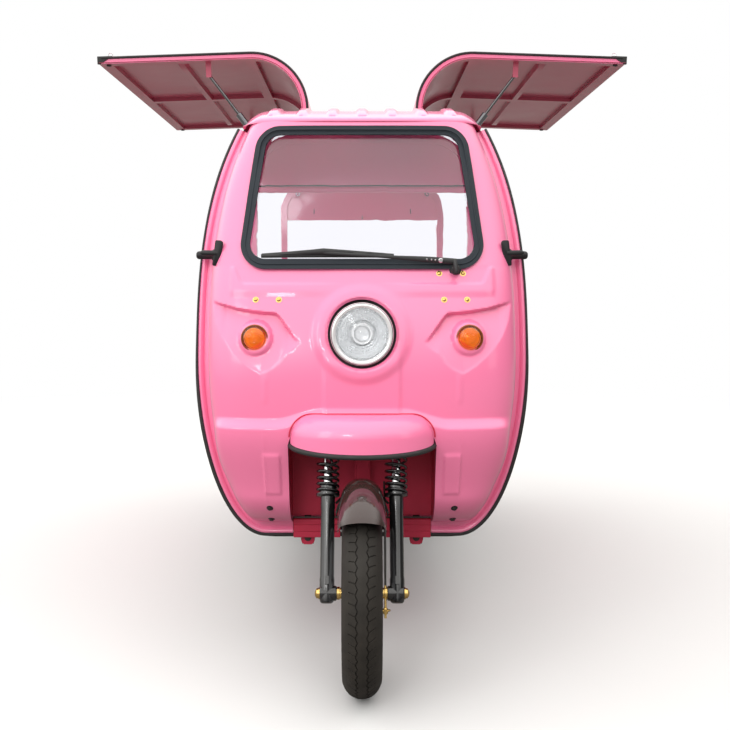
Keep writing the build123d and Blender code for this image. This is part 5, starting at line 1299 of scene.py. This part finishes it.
for hand, side in (("left", -1), ("right", 1)):
    name = f"hatch_{hand}"
    copy = nodes[name].data.copy()
    copy.transform(nodes[name].matrix_world)
    copy.materials.clear()
    copy.materials.append(pink_paint)
    copy.materials.append(hatch_inner_shade_paint)
    # Faces lying under the outer skin take the painted shade colour.
    for face in copy.polygons:
        spot = face.center
        shut = swung(side * spot.x, spot.z, -OPEN)
        within = shut[1] < ROOF_Z - 0.0005 and HATCH_Y0 + 0.001 < spot.y < HATCH_Y1 - 0.001
        face.material_index = 1 if within and outer_depth(*shut) > 0.0035 else 0
    skin = settle(f"{name}_pressing", copy, None, name, 32)
    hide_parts(name)

    foot_x, ends = HALF - BEAD_DEPTH, []
    turn_in = ((-0.0005, 0.012), (0.0035, 0.0025), (0.015, -0.0005))
    for y, way in ((HATCH_Y0, 1), (HATCH_Y1, -1)):
        end = [(x, y - way * 0.0005, z) for x, z in hatch_line(BEAD_DEPTH)[:-1]]
        ends.append(end + [(foot_x, y + way * out, FOOT_Z + up) for out, up in turn_in])
    run = (HATCH_Y1 - HATCH_Y0 - 0.2) / 12
    path = ends[0] + [(foot_x, HATCH_Y0 + 0.1 + k * run, FOOT_Z - 0.0005) for k in range(13)] + ends[1][::-1]
    edge = tube([lifted(*p) for p in path], 0.0042, 8)
    for end, y in (("front", HATCH_Y0 - 0.0004), ("rear", HATCH_Y1 + 0.0004)):
        lining = tube([lifted(x, y, z) for x, z in hatch_line(FOLD_DEPTH)], 0.0034, 8, flat=0.3)
        build(f"{name}_{end}_fold", *on_side(side, lining), hatch_inner_shade_paint, name, 50)
    wedge = [(0.0006, -0.004), (0.0006, 0.045), (-0.010, 0.030), (-0.0245, 0.004), (-0.0245, -0.004)]
    corner = opened(prism([(HALF + x, FOOT_Z + z) for x, z in wedge], HATCH_Y0 - 0.0022, HATCH_Y0 + 0.006))
    turns = [2 * math.pi * k / 20 for k in range(20)]
    eye = [lifted(HALF + 0.0068 + 0.0068 * math.cos(t), HATCH_Y0 + 0.012, FOOT_Z + 0.038 + 0.0068 * math.sin(t))
           for t in turns]
    eyelet = on_side(side, tube(eye, 0.0014, 8, closed=True))
    build(f"{name}_eyelet", *eyelet, bright, name)
    build(f"{name}_edge_bead", *on_side(side, edge, corner), grip_rubber, name)

    loops = []
    for step in range(25):
        y = HATCH_Y0 + 0.045 + (HATCH_Y1 - HATCH_Y0 - 0.09) * step / 24
        proud = 0.0155 * ease(step, 0, 1) * ease(step, 24, 23) + 0.0002
        loops.append([(HALF - 0.0085 - proud * h, y, 1.115 + w) for h, w in (
            (0, -0.016), (1, -0.010), (1, 0.010), (0, 0.016))])
    build(f"{name}_rib", *on_side(side, opened(sweep(loops))), hatch_inner_shade_paint, name, 30)
    stop = [(0.0, 0), (0.0, 0.0075), (-0.0026, 0.0085), (-0.0036, 0.0075), (-0.0036, 0)]
    stops = [opened(lathe(stop, "X", (HALF - 0.0248, y, FOOT_Z + 0.030), 20))
             for y in (HATCH_Y0 + 0.018, HATCH_Y1 - 0.018)]
    build(f"{name}_stops", *on_side(side, *stops), grip_rubber, name)
    plate = opened(slab(HALF - 0.0175, HALF - 0.0145, 0.600, 0.640, FOOT_Z - 0.0035, FOOT_Z + 0.002))
    bar = tube([lifted(HALF - 0.0160, 0.608 + 0.024 * k / 10, FOOT_Z - 0.003) for k in range(11)], 0.0018, 8)
    build(f"{name}_hasp", *on_side(side, plate, bar), bright, name)
    leaf_screws = []
    for share in (0.12, 0.5, 0.88):
        y_mid = -0.13 + share * 1.5
        for dy in (-0.0255, 0.0255):
            at = lifted(HINGE_X + 0.026, y_mid + dy, ROOF_Z + 0.003)
            way = (side * -math.sin(OPEN), 0, math.cos(OPEN))
            leaf_screws.append(((side * at[0], at[1], at[2]), way))
    fasten(f"{name}_hinge_screws", small_screw, leaf_screws, bright, name)

# ---- gas struts ---------------------------------------------------------------------------------------------------
# Four gas springs hold the hatches up, each a glossy black tube with a dark ground steel rod.
tube_black = coat_of("strut_tube_paint", (0.10, 0.105, 0.115), (0.16, 0.165, 0.175), 8.0, (0.14, 0.26),
                     (0.0008, 0.00006), Metallic=0.8, Coat_Weight=0.7)
strut_zinc = coat_of("strut_rod_steel", (0.11, 0.105, 0.11), (0.17, 0.165, 0.17), 24.0, (0.14, 0.26),
                     (0.0005, 0.00003), Metallic=1.0)
for end in ("front", "rear"):
    for hand in ("left", "right"):
        dress(tube_black, f"strut_tube_{end}_{hand}")
        dress(strut_zinc, f"strut_rod_{end}_{hand}")

# ---- driver's seat, battery, pedal and floor mat --------------------------------------------------------------
# A vinyl bench and backrest over a pink seat box that hides the battery. Both pads are stuffed: their covers are
# blown up as cloth, held down along two sewn channels and on the side they bear on, and piped round the seam.
vinyl = coat_of("seat_vinyl", (0.018, 0.016, 0.016), (0.030, 0.027, 0.027), 7.0, (0.38, 0.55), (0.0011, 0.00035),
                Coat_Weight=0.15)
piping_vinyl = coat_of("pink_piping", (0.72, 0.16, 0.30), (0.80, 0.20, 0.34), 16.0, (0.35, 0.5), (0.0008, 0.0001))
VOXEL, FRAMES, PRESSURE = 0.0062, 20, 4.0


def stuffed(name, node, shrink, sewn, reach):
    """Blows up a cover from a packed pad: sewn tells what is held down, reach how far the rest may move."""
    mesh = nodes[node].data.copy()
    mesh.transform(nodes[node].matrix_world)
    low = [min(v.co[i] for v in mesh.vertices) for i in range(3)]
    high = [max(v.co[i] for v in mesh.vertices) for i in range(3)]
    middle = Vector([(a + b) / 2 for a, b in zip(low, high)])
    for v in mesh.vertices:
        v.co = Vector([middle[i] + (v.co[i] - middle[i]) * shrink[i] for i in range(3)])
    cover = bpy.data.objects.new(name + "_cover", mesh)
    scene.collection.objects.link(cover)
    even = cover.modifiers.new("even", "REMESH")
    even.mode, even.voxel_size = "VOXEL", VOXEL
    mesh = baked(cover)
    cover.modifiers.clear()
    cover.data = mesh
    pins = cover.vertex_groups.new(name="pins")
    pins.add([v.index for v in mesh.vertices if sewn(v.co)], 1.0, "REPLACE")
    start = [v.co.copy() for v in mesh.vertices]
    cloth = cover.modifiers.new("cloth", "CLOTH")
    cloth.settings.quality = 4
    cloth.settings.mass = 0.3
    cloth.settings.bending_stiffness = 0.6
    cloth.settings.use_pressure = True
    cloth.settings.uniform_pressure_force = PRESSURE
    cloth.settings.vertex_group_mass = "pins"
    cloth.settings.effector_weights.gravity = 0.0
    cloth.point_cache.frame_start, cloth.point_cache.frame_end = 1, FRAMES
    for number in range(1, FRAMES + 1):
        scene.frame_set(number)
    blown = baked(cover)
    for v, was in zip(blown.vertices, start):
        move = v.co - was
        if move.length > reach:
            v.co = was + move.normalized() * reach
    cover.modifiers.clear()
    cover.data = blown
    scene.frame_set(1)
    smooth = cover.modifiers.new("smooth", "SUBSURF")
    smooth.levels = smooth.render_levels = 1
    mesh = baked(cover)
    bpy.data.objects.remove(cover)
    for v in mesh.vertices:
        v.co = Vector([min(high[i], max(low[i], v.co[i])) for i in range(3)])
    pad = settle(name, mesh, vinyl, "chassis", 75)
    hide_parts(node)
    return pad


def sewn_seat(co):
    """The bench's two channels, and all of it near its foot."""
    channel = abs(abs(co.x) - 0.103) < 0.0045 and co.z > 0.70 and -0.475 < co.y < -0.19
    return co.z < 0.668 or channel


def sewn_back(co):
    """The backrest's two channels, and all of it near its rear face."""
    channel = abs(abs(co.x) - 0.097) < 0.0045 and co.y < -0.15 and 0.81 < co.z < 1.01
    return co.y > -0.1335 or channel


bench = stuffed("bench_cushion", "seat_cushion", (0.980, 0.965, 0.90), sewn_seat, 0.0095)
back_pad = stuffed("backrest_cushion", "seat_backrest", (0.980, 0.955, 0.86), sewn_back, 0.0080)


def piped(name, pad, outline, inward):
    """Piping laid on a pad's surface along an outline, found by looking inward from outside it."""
    cover = skin_of(pad)
    path = []
    for spot in map(Vector, outline):
        way = inward(spot)
        hit = cover.ray_cast(spot - way * 0.03, way)[0] or spot
        path.append(hit + inward(hit) * 0.0005)
    build(name, *tube(path, 0.0028, 8, closed=True), piping_vinyl, "chassis")


seat_line = divided(rounded(oblong(-0.309, -0.494, 0.309, -0.171), 0.022, 6), 0.012)
piped("bench_piping", bench, [(x, y, 0.7245) for x, y in seat_line],
      lambda p: Vector((-p.x / 0.309 * 0.6, -(p.y + 0.3325) / 0.1615, -0.35)).normalized())
back_line = divided(rounded(oblong(-0.289, 0.791, 0.289, 1.029), 0.022, 6), 0.012)
piped("backrest_piping", back_pad, [(x, -0.160, z) for x, z in back_line],
      lambda p: Vector((-p.x / 0.289 * 0.6, 0.35, -(p.z - 0.91) / 0.119)).normalized())

lid = [slab(-0.304, 0.304, -0.4815, -0.4795, 0.640, 0.646), slab(-0.304, 0.304, -0.4825, -0.4795, 0.3835, 0.392)]
for x in (-0.180, 0.0, 0.180):
    for k in range(5):
        z = 0.470 + 0.020 * k
        lid.append(prism(rounded(oblong(x - 0.055, z, x + 0.055, z + 0.006), 0.0028, 4), -0.4800, -0.4822))
build("seat_box_trim", *joined(*lid), pink_paint, "chassis", 30)

battery_grey = coat_of("battery_case", (0.05, 0.052, 0.056), (0.075, 0.078, 0.083), 10.0, (0.4, 0.55),
                       (0.0012, 0.0002))
dress(battery_grey, "battery_pack")
straps = [slab(x - 0.014, x + 0.014, -0.4515, -0.1785, 0.6022, 0.6042) for x in (-0.150, 0.150)]
carrier = [(x, y, 0.545) for x, y in ((-0.05, -0.4500), (-0.05, -0.4620), (0.05, -0.4620), (0.05, -0.4500))]
straps.append(tube(carrier, 0.0045, 8))
build("battery_straps", *joined(*straps), liner_black, "chassis")
dress(liner_black, "brake_pedal")
treads = []
for k in range(5):
    y, z = -0.7735 - 0.0042 * k, 0.427 + 0.0118 * k
    treads.append(tube([(0.074, y, z), (0.126, y, z)], 0.0022, 6))
build("pedal_treads", *joined(*treads), grip_rubber, "chassis")

mat_lines = [(-0.790, 0.3824)]
for k in range(33):
    y = -0.780 + 0.0087 * k
    mat_lines += [(y, 0.3852), (y + 0.0022, 0.3862), (y + 0.0046, 0.3862), (y + 0.0066, 0.3852)]
mat_lines.append((-0.492, 0.3824))
mat = sweep([[(side * (0.235 + 0.115 * ease(y, -0.80, -0.60)), y, z) for y, z in mat_lines] for side in (-1, 1)])
floor_mat = build("ribbed_floor_mat", *mat, grip_rubber, "chassis", 30)

# ---- studio: floor, sky, lamps and the camera -----------------------------------------------------------------
# The trike stands on a pale floor that runs far back and fades to white, as the surroundings do where they are seen
# directly or through glass. An overcast sky, bright above with a halo behind, and three lamps in front light it.
def seen_in(tree):
    """One for what is seen directly or through glass, and nought for what only lights or reflects."""
    rays = put(tree, "ShaderNodeLightPath").outputs
    return put(tree, "ShaderNodeMath", {0: rays["Is Camera Ray"], 1: rays["Is Transmission Ray"]},
               operation="MAXIMUM").outputs[0]


def toward(tree, way, low, high, dark, light):
    """A strength that rises from dark to light as a direction nears a given way."""
    looking = put(tree, "ShaderNodeTexCoord").outputs["Generated"]
    near = put(tree, "ShaderNodeVectorMath", {0: looking, 1: way}, operation="DOT_PRODUCT").outputs["Value"]
    return put(tree, "ShaderNodeMapRange", {0: near, 1: low, 2: high, 3: dark, 4: light},
               interpolation_type="SMOOTHSTEP").outputs[0]


world = bpy.data.worlds.new("studio")
scene.world = world
world.use_nodes = True
sky = world.node_tree
sky.nodes.clear()
overhead = toward(sky, (-0.26, -0.10, 0.96), 0.02, 0.62, 0.14, 2.25)
halo = toward(sky, (0.0, 0.94, 0.34), 0.55, 0.95, 0.0, 0.9)
glow = put(sky, "ShaderNodeMath", {0: overhead, 1: halo}, operation="MAXIMUM").outputs[0]
cloud = put(sky, "ShaderNodeBackground", {"Color": (1.0, 0.985, 0.955, 1), "Strength": glow}).outputs[0]
white = put(sky, "ShaderNodeBackground", {"Color": (1, 1, 1, 1), "Strength": 1.0}).outputs[0]
either = put(sky, "ShaderNodeMixShader", {0: seen_in(sky), 1: cloud, 2: white}).outputs[0]
put(sky, "ShaderNodeOutputWorld", {"Surface": either})


def lamp(name, place, aim, size, watts):
    """A rectangular lamp at a place, turned to what it is aimed at."""
    light = bpy.data.lights.new(name, "AREA")
    light.shape, light.size, light.size_y, light.energy = "RECTANGLE", size[0], size[1], watts
    holder = bpy.data.objects.new(name, light)
    holder.location = place
    holder.rotation_euler = (Vector(aim) - Vector(place)).to_track_quat("-Z", "Y").to_euler()
    scene.collection.objects.link(holder)


lamp("front_left", (-3.0, -4.4, 2.6), (0, -0.9, 0.9), (1.2, 2.4), 26)
lamp("catch_light", (-0.7, -3.6, 1.7), (0, -1.2, 0.85), (0.45, 0.35), 7)
lamp("front_right", (3.2, -3.8, 2.2), (0, -0.9, 0.8), (1.0, 2.2), 9)

FLOOR, EYE_HEIGHT, EYE_BACK, EYE_DOWN = 30, 1.006, 3.708, 4.237
floor_mesh = bpy.data.meshes.new("studio_floor")
floor_mesh.from_pydata([(x, y, 0) for x, y in oblong(-FLOOR, -FLOOR, FLOOR, FLOOR)], [], [(0, 1, 2, 3)])
floor = bpy.data.objects.new("studio_floor", floor_mesh)
scene.collection.objects.link(floor)
pale = bpy.data.materials.new("pale_floor")
pale.use_nodes = True
tree = pale.node_tree
matt = tree.nodes["Principled BSDF"]
matt.inputs["Roughness"].default_value = 0.85
place = put(tree, "ShaderNodeTexCoord").outputs["Object"]
far = put(tree, "ShaderNodeVectorMath", {0: place}, operation="LENGTH").outputs["Value"]
fade = put(tree, "ShaderNodeMapRange", {0: far, 1: 2.2, 2: 6.5}, interpolation_type="SMOOTHSTEP").outputs[0]
seen = seen_in(tree)
share = put(tree, "ShaderNodeMath", {0: fade, 1: seen}, operation="MULTIPLY").outputs[0]
to_eye = blend_of(tree, seen, (0.2, 0.19, 0.18, 1), (0.6, 0.6, 0.6, 1))
tree.links.new(to_eye, matt.inputs["Base Color"])
bright_far = put(tree, "ShaderNodeEmission", {"Color": (1, 1, 1, 1), "Strength": 1.0}).outputs[0]
floor_mix = put(tree, "ShaderNodeMixShader", {0: share, 1: matt.outputs[0], 2: bright_far}).outputs[0]
tree.links.new(floor_mix, tree.nodes["Material Output"].inputs["Surface"])
floor_mesh.materials.append(pale)

view = bpy.data.cameras.new("camera")
view.lens, view.sensor_width = 51.95, 36.0
view.shift_x = 0.004
camera = bpy.data.objects.new("camera", view)
camera.location = (0.0, -EYE_BACK, EYE_HEIGHT)
camera.rotation_euler = (math.radians(90 - EYE_DOWN), 0, 0)
scene.collection.objects.link(camera)
scene.camera = camera
scene.view_settings.view_transform = "Standard"

for mould in moulds:
    bpy.data.objects.remove(mould)
